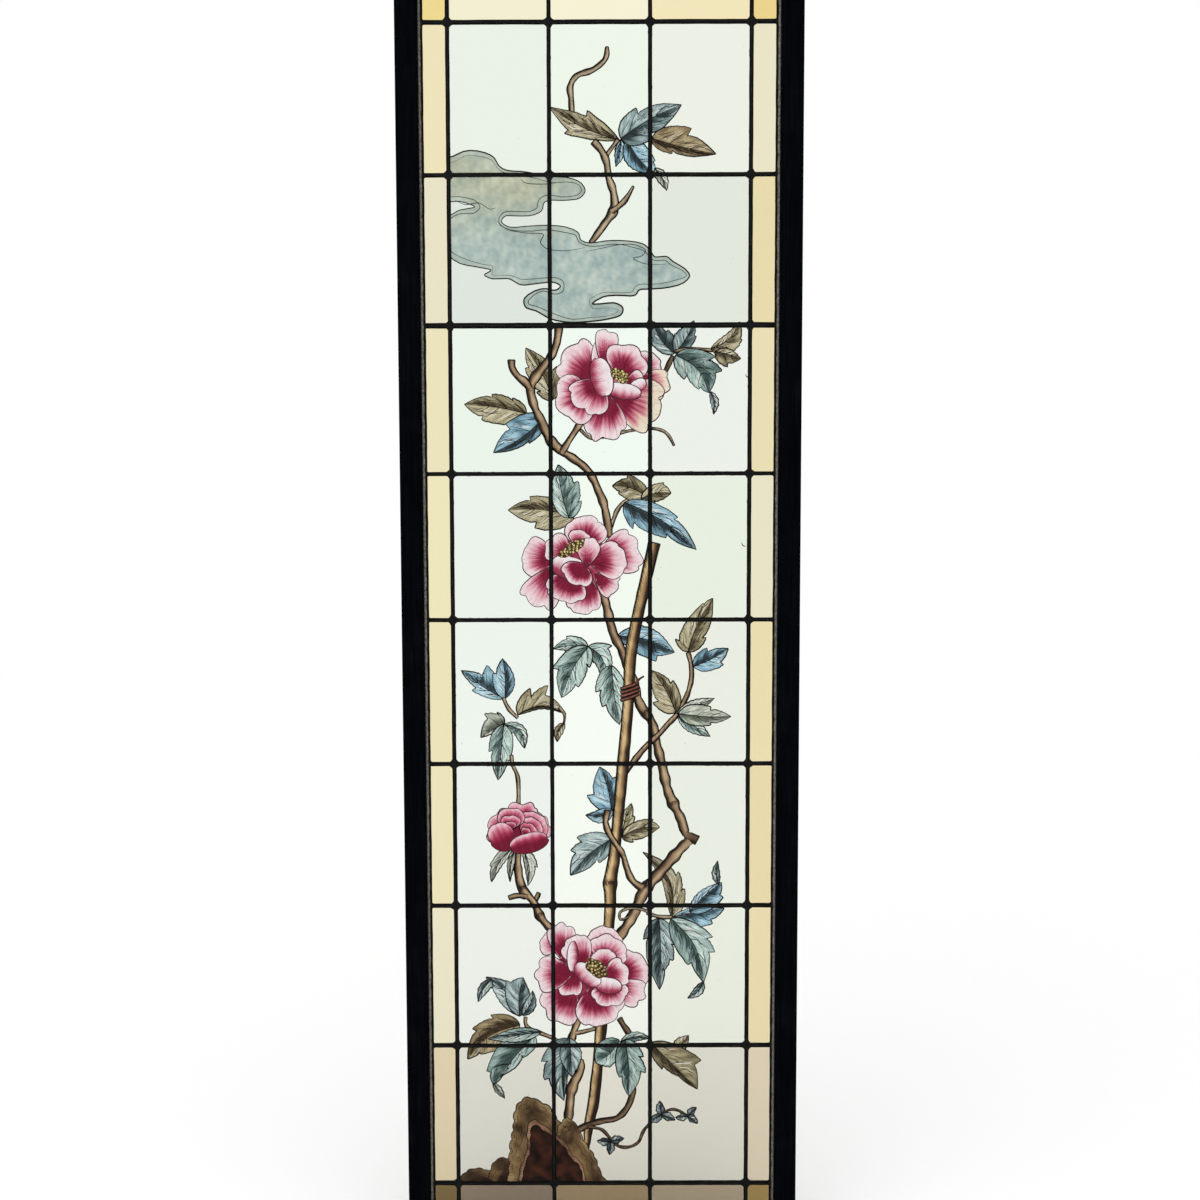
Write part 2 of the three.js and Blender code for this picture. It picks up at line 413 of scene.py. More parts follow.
def putty_fillet():
    """The grey line of putty between the frame's lip and the panel, all round, a little uneven."""
    solid = Solid()
    right, top = low("frame_stile_right", 0), low("frame_rail_top", 2)
    left, bottom = -right, high("frame_rail_bottom", 2)
    back = LEAD_FRONT - PUTTY_GAP
    corners = [complex(x, z) for x, z in ((left, bottom), (right, bottom), (right, top), (left, top))]
    for k, start in enumerate(corners):
        end = corners[(k + 1) % 4]
        length = abs(end - start)
        along = (end - start) / length
        inward = along * 1j
        rings = []
        for t in np.linspace(0, length, int(length / 7)):
            wide = PUTTY_WIDTH * (1 + 0.13 * wobble(t, k + 0.5, 25))
            foot = start + along * t
            section = ((0, PUTTY_THICK), (0.5, PUTTY_THICK * 0.5), (1, 0), (0, 0))
            places = [(foot + inward * wide * out, back - rise) for out, rise in section]
            rings.append([(place.real, depth, place.imag) for place, depth in places])
        solid.loft(rings)
    piece("putty_fillet", solid.vertices, solid.faces, [PUTTY], smooth=True)


def dress(node, material):
    for slot in node.material_slots:
        slot.material = material


def paint_frame():
    """Gives the frame and its beads brushed paint that runs along each bar."""
    for name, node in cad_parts.items():
        if name.startswith(("frame_", "glazing_bead_")):
            dress(node, FRAME_LEVEL if name.endswith(("top", "bottom")) else FRAME_UPRIGHT)


# Tints, as seen with white behind them: each row's left, centre and right pane. The lowest row's
# tints are darker and warmer: painted shade, for dimmer light behind the bottom of the window.
CLEAR = [
    ((234, 241, 231), (237, 246, 232), (236, 240, 228)),
    ((222, 229, 220), (234, 241, 231), (225, 231, 218)),
    ((234, 244, 233), (240, 250, 240), (235, 240, 232)),
    ((235, 242, 234), (242, 250, 240), (231, 239, 224)),
    ((237, 244, 236), (246, 252, 243), (233, 237, 225)),
    ((235, 241, 234), (244, 250, 240), (231, 236, 224)),
    ((235, 239, 231), (241, 245, 234), (232, 236, 222)),
    ((220, 219, 207), (228, 225, 211), (220, 219, 204)),
]
LEFT_STRIPS = [
    (238, 226, 183), (232, 225, 196), (234, 226, 185), (237, 229, 186),
    (236, 226, 181), (234, 225, 183), (234, 227, 197), (224, 208, 172),
]
RIGHT_STRIPS = [
    (234, 227, 197), (231, 217, 169), (233, 221, 176), (231, 226, 196),
    (233, 220, 172), (231, 215, 168), (233, 217, 172), (222, 208, 181),
]
TOP_STRIPS = {"left": (243, 238, 208), "centre": (247, 241, 211), "right": (242, 229, 184)}
# The bottom strips and bottom corners are much darker and browner than the top ones.
BOTTOM_STRIPS = {"left": (140, 123, 102), "centre": (158, 137, 99), "right": (170, 154, 127)}
CORNERS = {
    "corner_top_left": (237, 216, 139), "corner_top_right": (235, 209, 135),
    "corner_bottom_left": (118, 96, 46), "corner_bottom_right": (154, 128, 68),
}


def glaze():
    """Gives each pane its own tint."""
    tints = dict(CORNERS)
    for row in ROWS:
        for column, tint in zip(COLUMNS, CLEAR[row - 1]):
            tints[f"pane_{row}_{column}"] = tint
        tints[f"left_strip_{row}"] = LEFT_STRIPS[row - 1]
        tints[f"right_strip_{row}"] = RIGHT_STRIPS[row - 1]
    for column in COLUMNS:
        tints[f"top_strip_{column}"] = TOP_STRIPS[column]
        tints[f"bottom_strip_{column}"] = BOTTOM_STRIPS[column]
    made = {}
    for name, tint in tints.items():
        if tint not in made:
            made[tint] = glass("glass_%d_%d_%d" % tint, tint)
        dress(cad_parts[name], made[tint])


# ---------------------------------------------------------------- curves on the plane of the glass


CURVE_STEP = 1.6


def curve(points, step=CURVE_STEP, loop=False):
    """A smooth curve through points, with a place about every step. A loop ends where it starts."""
    p = np.array(points, complex)
    if loop:
        p = np.concatenate([p[-1:], p, p[:2]])
    leap = np.diff(p)
    pace = np.sqrt(np.abs(leap))
    speed = leap / pace
    turn = np.empty_like(p)
    turn[1:-1] = (speed[1:] * pace[:-1] + speed[:-1] * pace[1:]) / (pace[1:] + pace[:-1])
    turn[0] = speed[0] if len(p) < 3 else 1.5 * speed[0] - 0.5 * turn[1]
    turn[-1] = speed[-1] if len(p) < 3 else 1.5 * speed[-1] - 0.5 * turn[-2]
    pieces = []
    spans = range(1, len(p) - 2) if loop else range(len(p) - 1)
    for k in spans:
        t = np.arange(0, 1, 1 / max(2, math.ceil(abs(leap[k]) / step)))
        h = pace[k]
        pieces.append(
            (1 + 2 * t) * (1 - t) ** 2 * p[k] + t * (1 - t) ** 2 * h * turn[k]
            + t ** 2 * (3 - 2 * t) * p[k + 1] + t ** 2 * (t - 1) * h * turn[k + 1]
        )
    if not loop:
        pieces.append(p[-1:])
    return np.concatenate(pieces)


def share(path):
    """How far along the path each place lies, from 0 to 1."""
    gone = np.concatenate([[0], np.cumsum(np.abs(np.diff(path)))])
    return gone / gone[-1]


def length_of(path):
    return float(np.abs(np.diff(path)).sum())


def leftward(path):
    """The unit direction to the left of the path at each place."""
    way = np.gradient(path)
    return 1j * way / np.maximum(np.abs(way), 1e-9)


def in_box(points, outline):
    """Whether each point is in the upright box round the outline."""
    hit = (points.real >= outline.real.min()) & (points.real <= outline.real.max())
    return hit & (points.imag >= outline.imag.min()) & (points.imag <= outline.imag.max())


def inside(points, outline):
    """Whether each point is inside the outline, counting the edges to one side of it."""
    hit = in_box(points, outline)
    near = points[hit]
    x, y = near.real[:, None], near.imag[:, None]
    ax, ay = outline.real[None], outline.imag[None]
    bx, by = np.roll(ax, -1, 1), np.roll(ay, -1, 1)
    rise = by - ay
    rise = np.where(rise == 0, 1e-12, rise)
    left = x < ax + (y - ay) * (bx - ax) / rise
    up = (ay <= y) & (by > y) & left
    down = (ay > y) & (by <= y) & left
    hit[hit] = up.sum(1) != down.sum(1)
    return hit


def nearest(points, path):
    """The number of the path's place nearest to each point, and the distance to it."""
    gap = np.abs(points[:, None] - path[None])
    number = gap.argmin(1)
    return number, gap[np.arange(len(points)), number]


def beside(path, side, half, shares, out):
    """Places at shares of a path's length, out to its left by shares of its half width."""
    along = share(path)
    place = np.interp(shares, along, path.real) + 1j * np.interp(shares, along, path.imag)
    way = np.interp(shares, along, side.real) + 1j * np.interp(shares, along, side.imag)
    return place + way * out * np.interp(shares, along, half)


def grain(points, size, phase=0.0):
    """A soft unevenness between about -1 and 1 that runs in no one direction."""
    place = points / size
    total = 0
    for k in range(4):
        turned = place * np.exp(1j * (phase + 2.4 * k))
        warp = 1.4 * np.sin(1.1 * turned.imag + 1.9 * k + phase)
        total = total + np.sin((1.3 + 0.6 * k) * turned.real + warp) / (1 + 0.35 * k)
    return total / 2


def tone(stops, t):
    """Colours between the stops, which are spread evenly from 0 to 1."""
    stops = np.asarray(stops, float)
    at = np.linspace(0, 1, len(stops))
    t = np.clip(t, 0, 1)
    return np.stack([np.interp(t, at, stops[:, k]) for k in range(3)], 1)


# ---------------------------------------------------------------- painting: areas of wash, and lines

areas = []
strokes = []


def area(outline, wash):
    """A figure's area. A later one covers it. wash gives the colour at places."""
    areas.append((outline, wash))


def ink(kind, path, width, taper="even", within=False):
    """A painted line over the last area. within keeps it inside that area."""
    path = np.asarray(path, complex)
    t = share(path)
    shape = {
        "even": 0.8 + 0.2 * np.sin(9 * t + abs(path[0]) % 7),
        "tail": 0.25 + 0.75 * (1 - t) ** 0.9,
        "both": 0.3 + 0.7 * np.sin(np.pi * t) ** 0.7,
    }[taper]
    strokes.append((len(areas) - 1, kind, path, width * shape, within))


def hatch(kind, path, width, taper="tail"):
    """A painted line that the last area's edge cuts off."""
    ink(kind, path, width, taper, True)


def closed(outline):
    """The outline with its first place again at its end."""
    return np.append(outline, outline[:1])


# Ramps from light to dark, in sRGB.
OLIVE = ((206, 198, 166), (158, 149, 117), (74, 66, 46))
BROWN = ((196, 180, 142), (140, 124, 92), (62, 50, 34))
BLUE = ((190, 222, 232), (124, 164, 182), (42, 54, 58))
SLATE = ((196, 214, 212), (128, 148, 148), (44, 56, 57))
TEAL = ((208, 228, 219), (150, 174, 167), (62, 82, 77))
SAGE = ((214, 220, 206), (164, 172, 156), (84, 92, 80))
BARK = ((194, 168, 134), (120, 97, 74), (38, 28, 22))
TWIG = ((200, 183, 152), (139, 122, 98), (56, 44, 33))
CANE = ((218, 190, 140), (142, 112, 76), (40, 28, 20))
ROOT = ((134, 110, 84), (72, 56, 43), (27, 20, 17))
CORD = ((160, 106, 92), (104, 58, 48), (46, 24, 20))
DARK_INK = {OLIVE: "umber", BROWN: "umber", BLUE: "slate", SLATE: "slate", TEAL: "slate", SAGE: "moss"}


# Widths of the painted lines, in mm.
LEAF_EDGE, RIB, VEIN, LEAF_HATCH, LEAF_NICK, GLINT = 1.8, 1.7, 1.15, 0.75, 0.6, 0.9
PETAL_EDGE, STREAK, RIM_STREAK, CUP_STREAK = 1.5, 0.8, 0.4, 0.6
BARK_HATCH, STONE_HATCH, ANTHER_EDGE, CLOUD_EDGE, SCROLL = 0.8, 0.8, 0.8, 2.1, 1.1

# In mm, but VEIN_LEAD, which is how far down the midrib a vein starts, as a share of its length.
TOOTH_PITCH, TOOTH_DEPTH = 8, 1.2
VEIN_LEAD = 0.26
HATCH_PITCH, BARK_PITCH = 4.5, 3.6
# A stem thinner than the first has a brown outline, and one thinner than the second no hatching.
FINE_STEM, PLAIN_STEM = 3, 4


def arc(start, end, out, swell):
    """An edge that swells to one side of its chord and narrows to a point at its end."""
    chord = end - start
    first = start + chord * (0.25 + 1.2j * out * swell)
    second = start + chord * (0.7 + 0.6j * out * swell)
    t = np.linspace(0, 1, 14)[1:]
    return (1 - t) ** 3 * start + 3 * t * (1 - t) ** 2 * first + 3 * t * t * (1 - t) * second + t ** 3 * end


def leaf(base, axis, ramp, width=0.22, bow=0.0, lobes=(), shade=-1, cut=0.34, swell=0.26, deep=0.0):
    """A painted leaf with pointed lobes. axis goes from its base to its tip, and bow bends the midrib
    to the left. lobes are the lobes' points, from the base; a side without any is as wide as width
    times the length. shade is the darker side, 1 for the left or -1 for the right, cut is how deep
    the notches go, swell is how round the first lobes' edge is, and deep darkens the wash."""
    tip = base + axis
    length = abs(axis)
    rib = curve([base, (base + tip) / 2 + axis * 1j * bow, tip], length / 60)
    s, side = share(rib), leftward(rib)
    phase = draw(0, 6)
    found = {1: [], -1: []}
    for place in base + np.array(lobes, complex):
        number = int(nearest(np.array([place]), rib)[0][0])
        is_left = ((place - rib[number]) * side[number].conj()).real > 0
        found[1 if is_left else -1].append((number, place))
    edges, half = {}, {}
    for k in (1, -1):
        if found[k]:
            path, start, bulge = [base], base, swell
            for number, place in sorted(found[k], key=lambda item: item[0]):
                path.extend(arc(start, place, k, bulge))
                start = place + (rib[max(number - 4, 0)] - place) * cut
                path.append(start)
                bulge = 0.55 * swell
            edge = np.array([*path, *arc(start, tip, k, bulge)])
        else:
            edge = rib + side * k * width * length * np.sin(np.pi * s ** 0.8)
        gone = share(edge)
        teeth = ((gone * length_of(edge) / TOOTH_PITCH + phase) % 1) ** 2 * np.sin(np.pi * gone)
        edges[k] = edge + k * leftward(edge) * (TOOTH_DEPTH * teeth)
        number, out = nearest(edges[k], rib)
        order = np.argsort(number, kind="stable")
        half[k] = np.interp(np.arange(len(rib)), number[order], out[order])
    outline = np.concatenate([edges[1], edges[-1][-2:0:-1]])
    dark = DARK_INK[ramp]
    fullness = 0.8 if ramp in (BLUE, BROWN) else 0.58

    def wash(points):
        number, _ = nearest(points, rib)
        out = ((points - rib[number]) * side[number].conj()).real
        reach = np.where(out > 0, half[1][number], half[-1][number])
        v = np.clip(np.abs(out) / np.maximum(reach, 0.5), 0, 1)
        vein = (s[number] - 0.25 * v ** 1.2) * length
        fold = np.sin(0.42 * vein + 2 * phase) * np.sin(np.pi * np.clip(v, 0.1, 0.9))
        patch = 0.18 * fold + 0.16 * grain(points, 9, phase) + deep
        # The lit side is dark only at the midrib, and the other one darkest a little out from it.
        lit = 0.45 * np.exp(-v / 0.09) + 0.14 + 0.22 * v ** 3
        dim = fullness * np.exp(-((v - 0.12) / 0.36) ** 2) + 0.36 + 0.16 * v ** 4
        t = np.where(np.sign(out) == shade, dim, lit) + patch
        return tone(ramp, t + 0.25 * np.exp(-s[number] / 0.1) + 0.3 * np.clip(s[number] - 0.84, 0, 1))

    def at(along, out, k):
        """The place at a share along the midrib and a share of the half width out to side k."""
        return beside(rib, side, half[k], along, k * out)

    area(outline, wash)
    t = np.linspace(0, 1, 5)
    bend = np.linspace(0, 1, 9)
    for k in (1, -1):
        stations = [number / len(rib) for number, _ in found[k]] or [0.4, 0.66]
        for station in [*stations, 0.86]:
            start = max(station - VEIN_LEAD, 0.04)
            vein = at(start + (station - start) * bend ** 1.2, 0.9 * bend, k)
            hatch("black" if k == shade else dark, vein, VEIN)
        for start in np.linspace(0.02, 0.8, max(4, int(length / HATCH_PITCH))):
            for shift in rng.uniform(-0.03, 0.03, 2 if k == shade else 1):
                foot, reach, lean = draw(0.03, 0.5), draw(0.15, 0.45), draw(0.12, 0.24)
                hatch(dark, at(start + shift + lean * t ** 1.2, foot + reach * t, k), LEAF_HATCH)
            reach = draw(0.1, 0.35)
            hatch(dark, at(start + 0.14 - 0.14 * reach * t, 1 - reach * t, k), LEAF_NICK)
    for start in rng.uniform(0.12, 0.7, 4):
        hatch("pale", at(start + 0.2 * t, 0.12 + 0.6 * t, -shade), GLINT, "both")
    ink("black", rib, RIB, "tail")
    ink("black", closed(outline), LEAF_EDGE)


def branch(points, widths, ramp=BARK, light=0.2, knots=(), open_ends=(False, False)):
    """A stem, twig, cane or tendril with round shading and hatched edges. light is the lit place
    across it, from -1 to 1 at its left, knots are at shares of its length, and an open end has no
    line across it, because it runs into another stem."""
    path = curve(points)
    length = length_of(path)
    phase = draw(0, 6)
    along = share(path)
    wide = np.interp(along, np.linspace(0, 1, len(widths)), widths)
    rough = 0.02 if ramp in (CANE, CORD) else 0.09
    gone = length * along
    wide = wide * (1 + rough * np.sin(gone / 5.3 + phase) + rough * np.sin(gone / 2.9 + 2 * phase))
    mean = float(np.mean(widths))
    for knot in knots:
        wide = wide * (1 + 0.22 * np.exp(-((along - knot) * length / 6.0) ** 2))
    side = leftward(path)
    edge_left, edge_right = path + side * wide / 2, path - side * wide / 2

    def wash(spots):
        number, _ = nearest(spots, path)
        v = ((spots - path[number]) * side[number].conj()).real / (wide[number] / 2)
        t = gone[number]
        patch = 0.16 * grain(spots, 9, phase) + 0.1 * np.sin(7 * v + t / 23)
        dark = 0.08 + np.abs(v - light) ** 1.5 + patch
        for knot in knots:
            dark = dark + 0.45 * np.exp(-((along[number] - knot) * length / 3.0) ** 2)
        for end, merged in zip((0, length), open_ends):
            if merged:
                dark = dark - 0.5 * np.abs(v) ** 3 * np.exp(-((t - end) / mean) ** 2)
        return tone(ramp, dark)

    def at(shares, out):
        return beside(path, side, wide / 2, shares, out)

    area(np.concatenate([edge_left, edge_right[::-1]]), wash)
    line = "black" if mean > FINE_STEM else "umber"
    weight = min(2.0, 0.7 + 0.18 * mean)
    bare = int(mean * 0.55 / CURVE_STEP)
    lined = slice(bare * open_ends[0], len(path) - bare * open_ends[1])
    ink(line, edge_left[lined], weight)
    ink(line, edge_right[lined], weight * 1.35)
    for end, merged in zip((0, -1), open_ends):
        if not merged:
            ink(line, [edge_left[end], edge_right[end]], weight)
    if mean < PLAIN_STEM:
        return
    for sign, depth in ((-1, 0.75), (1, 0.35)):
        for start in np.arange(0.0, length, BARK_PITCH):
            begin, run = start + draw(-1.5, 1.5), draw(4, 11)
            t = np.clip(np.linspace(begin, begin + run, 5) / length, 0, 1)
            out = np.linspace(0.98, 1 - depth * draw(0.4, 1), 5)
            hatch("umber", at(t, sign * out), BARK_HATCH)
        for start in rng.uniform(mean, max(length - mean, mean), int(length / 11)):
            t = np.linspace(start, start + draw(3, 9), 5) / length
            ink("black", at(np.clip(t, 0, 1), sign * 0.92), draw(1.6, 2.6), "both")
    ring, brow = np.linspace(0.5, 5.8, 10), np.linspace(-3, 3, 7)
    for knot in knots:
        hatch("black", at(knot + 2.2 / length * np.cos(ring), 0.1 + 0.4 * np.sin(ring)), 1.1, "both")
        hatch("black", at(knot + np.linspace(-5, 5, 7) / length, -0.5 - 0.2 * np.cos(brow)), 1.0, "both")


# Petal ramps, from the rim to the base.
PETAL = ((236, 222, 224), (230, 200, 205), (206, 132, 148), (160, 56, 84), (114, 20, 46))
INNER = ((238, 230, 232), (234, 220, 223), (226, 190, 197), (204, 132, 148), (156, 58, 84))
CREAM = ((230, 222, 200), (230, 210, 190), (208, 142, 146), (160, 56, 84), (114, 20, 46))
BUD = ((232, 196, 204), (206, 120, 140), (166, 56, 84), (142, 36, 64), (110, 22, 46))
EYE = ((110, 84, 52), (52, 34, 26))
ANTHER = ((232, 216, 150), (150, 130, 74))
ANTHERS = 26
GOLDEN_TURN = 2.399963
# The scalloped rim of a cup reaches this far round it to each side, in radians.
CUP_RIM = 1.7


def petal(root, way, reach, spread, deep=0.4, lobes=3, ramp=PETAL, cut=0.1):
    """A fan petal that opens from root towards way, in degrees. spread is half its angle, and deep
    is the share of its length where its dark base begins to fade."""
    angle, wide = math.radians(way), math.radians(spread)
    u = np.linspace(-1, 1, 45)
    u = np.sign(u) * (1 - (1 - np.abs(u)) ** 1.8)
    phase = draw(0, 6)
    warp = u + 0.1 * np.sin(2.2 * np.pi * u + phase) * (1 - u * u)
    scallop = np.abs(np.sin(np.pi * lobes * (warp + 1) / 2)) ** 0.6
    rim = reach * (1 - np.abs(u) ** 3.4) ** 0.4 * (1 - cut * (1 - scallop))
    rim = rim * (1 + 0.035 * np.sin(3.1 * u + phase) + 0.018 * np.sin(11 * u + 2 * phase))
    fan = u * wide
    outline = root + rim * np.exp(1j * (angle + fan))

    def wash(points):
        local = (points - root) * np.exp(-1j * angle)
        edge = np.interp(np.angle(local), fan, rim)
        v = np.clip(np.abs(local) / np.maximum(edge, 0.5), 0, 1.0)
        streak = 0.1 * np.sin(np.angle(local) * 34 / wide + phase) * np.sin(np.pi * v)
        t = 1 - np.clip((v - deep) / (0.97 - deep), 0, 1) ** 0.9 + streak + 0.1 * grain(points, 8, phase)
        return tone(ramp, t)

    area(outline, wash)
    count = 4 + int(reach * wide / 2.6)
    for start in np.linspace(-0.86, 0.86, count):
        at = start + draw(-0.05, 0.05)
        edge = np.interp(at * wide, fan, rim)
        t = np.linspace(deep * draw(0.4, 0.95), min(0.93, deep + draw(0.12, 0.42)), 6)
        bend = at * wide * (1 + 0.12 * t)
        hatch("crimson", root + t * edge * np.exp(1j * (angle + bend)), STREAK)
    for start in np.linspace(-0.8, 0.8, count // 2):
        at = start + draw(-0.06, 0.06)
        edge = np.interp(at * wide, fan, rim)
        t = np.linspace(0.98, draw(0.84, 0.93), 4)
        hatch("rose", root + t * edge * np.exp(1j * (angle + at * wide)), RIM_STREAK)
    ink("plum", outline, PETAL_EDGE)


def cup(base, way, long, wide, deep, lobes, ramp=INNER):
    """The round outer face of a petal that curls inward: base is its foot, and way points to its rim."""
    turn = np.exp(1j * math.radians(way))
    phase = draw(0, 6)
    turns = np.linspace(-np.pi, np.pi, 56, endpoint=False)
    waves = np.abs(np.sin(np.pi * lobes * (turns + CUP_RIM) / (2 * CUP_RIM))) ** 0.6
    scallop = np.where(np.abs(turns) < CUP_RIM, waves, 1)
    swell = (1 - 0.1 * (1 - scallop)) * (1 + 0.03 * np.sin(2 * turns + phase))
    outline = base + turn * (long / 2 + swell * (long / 2 * np.cos(turns) + 0.5j * wide * np.sin(turns)))

    def wash(points):
        local = (points - base) / turn
        q = np.clip(np.abs(local.imag) / (wide / 2), 0, 0.98)
        v = 0.5 + 0.5 * (local.real - long / 2) / (long / 2 * np.sqrt(1 - q * q))
        streak = 0.07 * np.sin(local.imag * 30 / wide + phase)
        t = 1 - np.clip((v - deep) / (0.9 - deep), 0, 1) ** 0.8 + streak + 0.07 * grain(points, 7, phase)
        return tone(ramp, t)

    area(outline, wash)
    for q in np.linspace(-0.85, 0.85, 3 + int(wide / 4.5)):
        t = np.linspace(0.02, deep + draw(0.2, 0.5), 6)
        bow = np.sqrt(np.clip(1 - (2 * t - 1) ** 2, 0, 1))
        hatch("crimson", base + turn * (long * t + 0.5j * wide * q * bow), CUP_STREAK)
    ink("plum", closed(outline), PETAL_EDGE)


def bed(centre, width, height):
    """The deep crimson ground under a flower's petals."""
    ring = np.exp(1j * np.linspace(0, math.tau, 40, endpoint=False))
    outline = centre + width * ring.real + 1j * height * ring.imag
    area(outline, lambda points: tone(PETAL, 0.8 + 0.2 * grain(points, 7)))


def stamens(centre, long, short, tilt):
    """The yellow eye of a flower: a dark bed, and small anthers with dark rims."""
    turn = np.exp(1j * math.radians(tilt))
    ring = np.exp(1j * np.linspace(0, math.tau, 30, endpoint=False))
    waves = 1 + 0.08 * np.sin(5 * np.angle(ring))
    patch = centre + turn * 1.1 * (long * ring.real + 1j * short * ring.imag) * waves
    area(patch, lambda points: tone(EYE, 0.5 + 0.5 * grain(points, 4)))
    for k in range(ANTHERS):
        way = k * GOLDEN_TURN
        far = math.sqrt((k + 0.5) / ANTHERS)
        place = centre + turn * complex(long * far * math.cos(way), short * far * math.sin(way))
        dot = place + draw(1.4, 2.3) * ring[::3]
        area(dot, lambda points, shift=k: tone(ANTHER, 0.5 + 0.5 * np.sin(points.real + shift)))
        ink("black", closed(dot), ANTHER_EDGE)


CLOUD = ((192, 203, 193), (169, 187, 180), (150, 169, 167))
CLOUD_WARM = ((198, 201, 178), (180, 184, 160), (162, 172, 154))
CLOUD_BAND = ((192, 203, 190), (154, 168, 157))
CLOUD_RIM = 6.5


def cloud(points):
    """A scroll cloud: a mottled wash with a band round its edge, warmer towards its top."""
    outline = curve(points, 3.0, loop=True)
    top, bottom = outline.imag.max(), outline.imag.min()

    def wash(spots):
        _, gap = nearest(spots, outline)
        patch = 0.5 + 0.22 * grain(spots, 26) + 0.26 * grain(spots, 8, 2.0) + 0.2 * grain(spots, 3.6, 1.0)
        height = (spots.imag - bottom) / (top - bottom)
        warm = np.clip(height * 2.4 - 1.2 + 0.5 * grain(spots, 45, 4.0), 0, 1)[:, None]
        body = tone(CLOUD, patch) * (1 - warm) + tone(CLOUD_WARM, patch) * warm
        rim = np.clip((CLOUD_RIM + 1.5 - gap) / 3, 0, 1)[:, None] * 0.6
        return body * (1 - rim) + tone(CLOUD_BAND, 0.5 + 0.5 * grain(spots, 14, 1.0)) * rim

    area(outline, wash)
    depth = CLOUD_RIM * (0.85 + 0.35 * wobble(share(outline), 0.4, 0.09))
    inner = outline - leftward(closed(outline))[:-1] * depth
    _, clear = nearest(inner, outline)
    kept = clear > depth * 0.93
    for chunk in np.split(np.arange(len(inner)), np.flatnonzero(np.diff(kept.astype(int))) + 1):
        if kept[chunk[0]] and len(chunk) > 4:
            ink("slate", curve(inner[chunk[::2]], 1.5), 1.0, "both")
    ink("black", closed(outline), CLOUD_EDGE)


ROCK = ((156, 132, 92), (106, 84, 56), (48, 34, 22))
ROCK_LOW = ((122, 100, 68), (74, 56, 38), (30, 22, 15))
ROCK_CORE = ((84, 46, 30), (52, 27, 18), (22, 12, 8))
ROCK_DARK = ((66, 44, 30), (36, 23, 16), (18, 11, 8))
LIP = ((178, 142, 112), (134, 100, 76), (70, 46, 34))
SCALLOP_PITCH = 15


def stone(points, ramp, size=14, line=1.6, rim=0.4, scallop=1.1, scratches=1):
    """A rounded shape with a scalloped edge. Its wash is rim lighter at the edge, or darker where rim is
    below 0, and scratches is the number of brush marks that follow each part of the edge."""
    outline = curve(points, 2.0, loop=True)
    phase = draw(0, 6)
    way = leftward(closed(outline))[:-1]
    gone = share(outline)
    turn = gone * length_of(outline) * np.pi / SCALLOP_PITCH + phase + 0.6 * wobble(gone, 1, 0.3)
    outline = outline + way * scallop * np.abs(np.sin(turn)) ** 0.7

    def wash(spots):
        _, gap = nearest(spots, outline)
        t = 0.56 + 0.3 * grain(spots, size, phase) + 0.14 * grain(spots, 5, 2 * phase)
        return tone(ramp, t - rim * np.exp(-gap / 4))

    area(outline, wash)
    for _ in range(scratches):
        for start in range(0, len(outline) - 9, 3):
            run = outline[start:start + int(rng.integers(4, 9))]
            inward = draw(2.5, 16) + np.linspace(0, draw(-1, 1.5), len(run))
            hatch("umber", run - leftward(run) * inward, STONE_HATCH, "both")
    for start in range(0, len(outline), 2):
        reach = np.linspace(0, draw(1.5, 4), 4)
        hatch("umber", outline[start] - way[start] * reach + np.linspace(0, 1.5, 4), STONE_HATCH)
    ink("black", closed(outline), line)


def tie(centre, width):
    """Cord wound four times round the cane and the stem, with a loose end."""
    for k in range(4):
        drop = -5.2j * k
        sway = 0.6 * math.sin(2.0 * k)
        left, right = centre - width * 0.52 + drop - 4j, centre + width * 0.5 + drop + 4.5j
        branch([left, centre + drop - 0.5j + sway, right], (3.6, 4.6, 3.8), CORD, 0.1)
    loose = [centre + width * aside + rise for aside, rise in ((0.3, 3j), (0.52, 9j), (0.78, 13j))]
    branch(loose, (3.2, 2.6, 1.2), CORD)


def sprig(centre, size, ways):
    """A cluster of small leaves round one place."""
    for way in ways:
        leaf(centre, size * np.exp(1j * math.radians(way)), SLATE, 0.26, 0.05, deep=0.2)


# ---------------------------------------------------------------- the picture: places in mm, x + z j


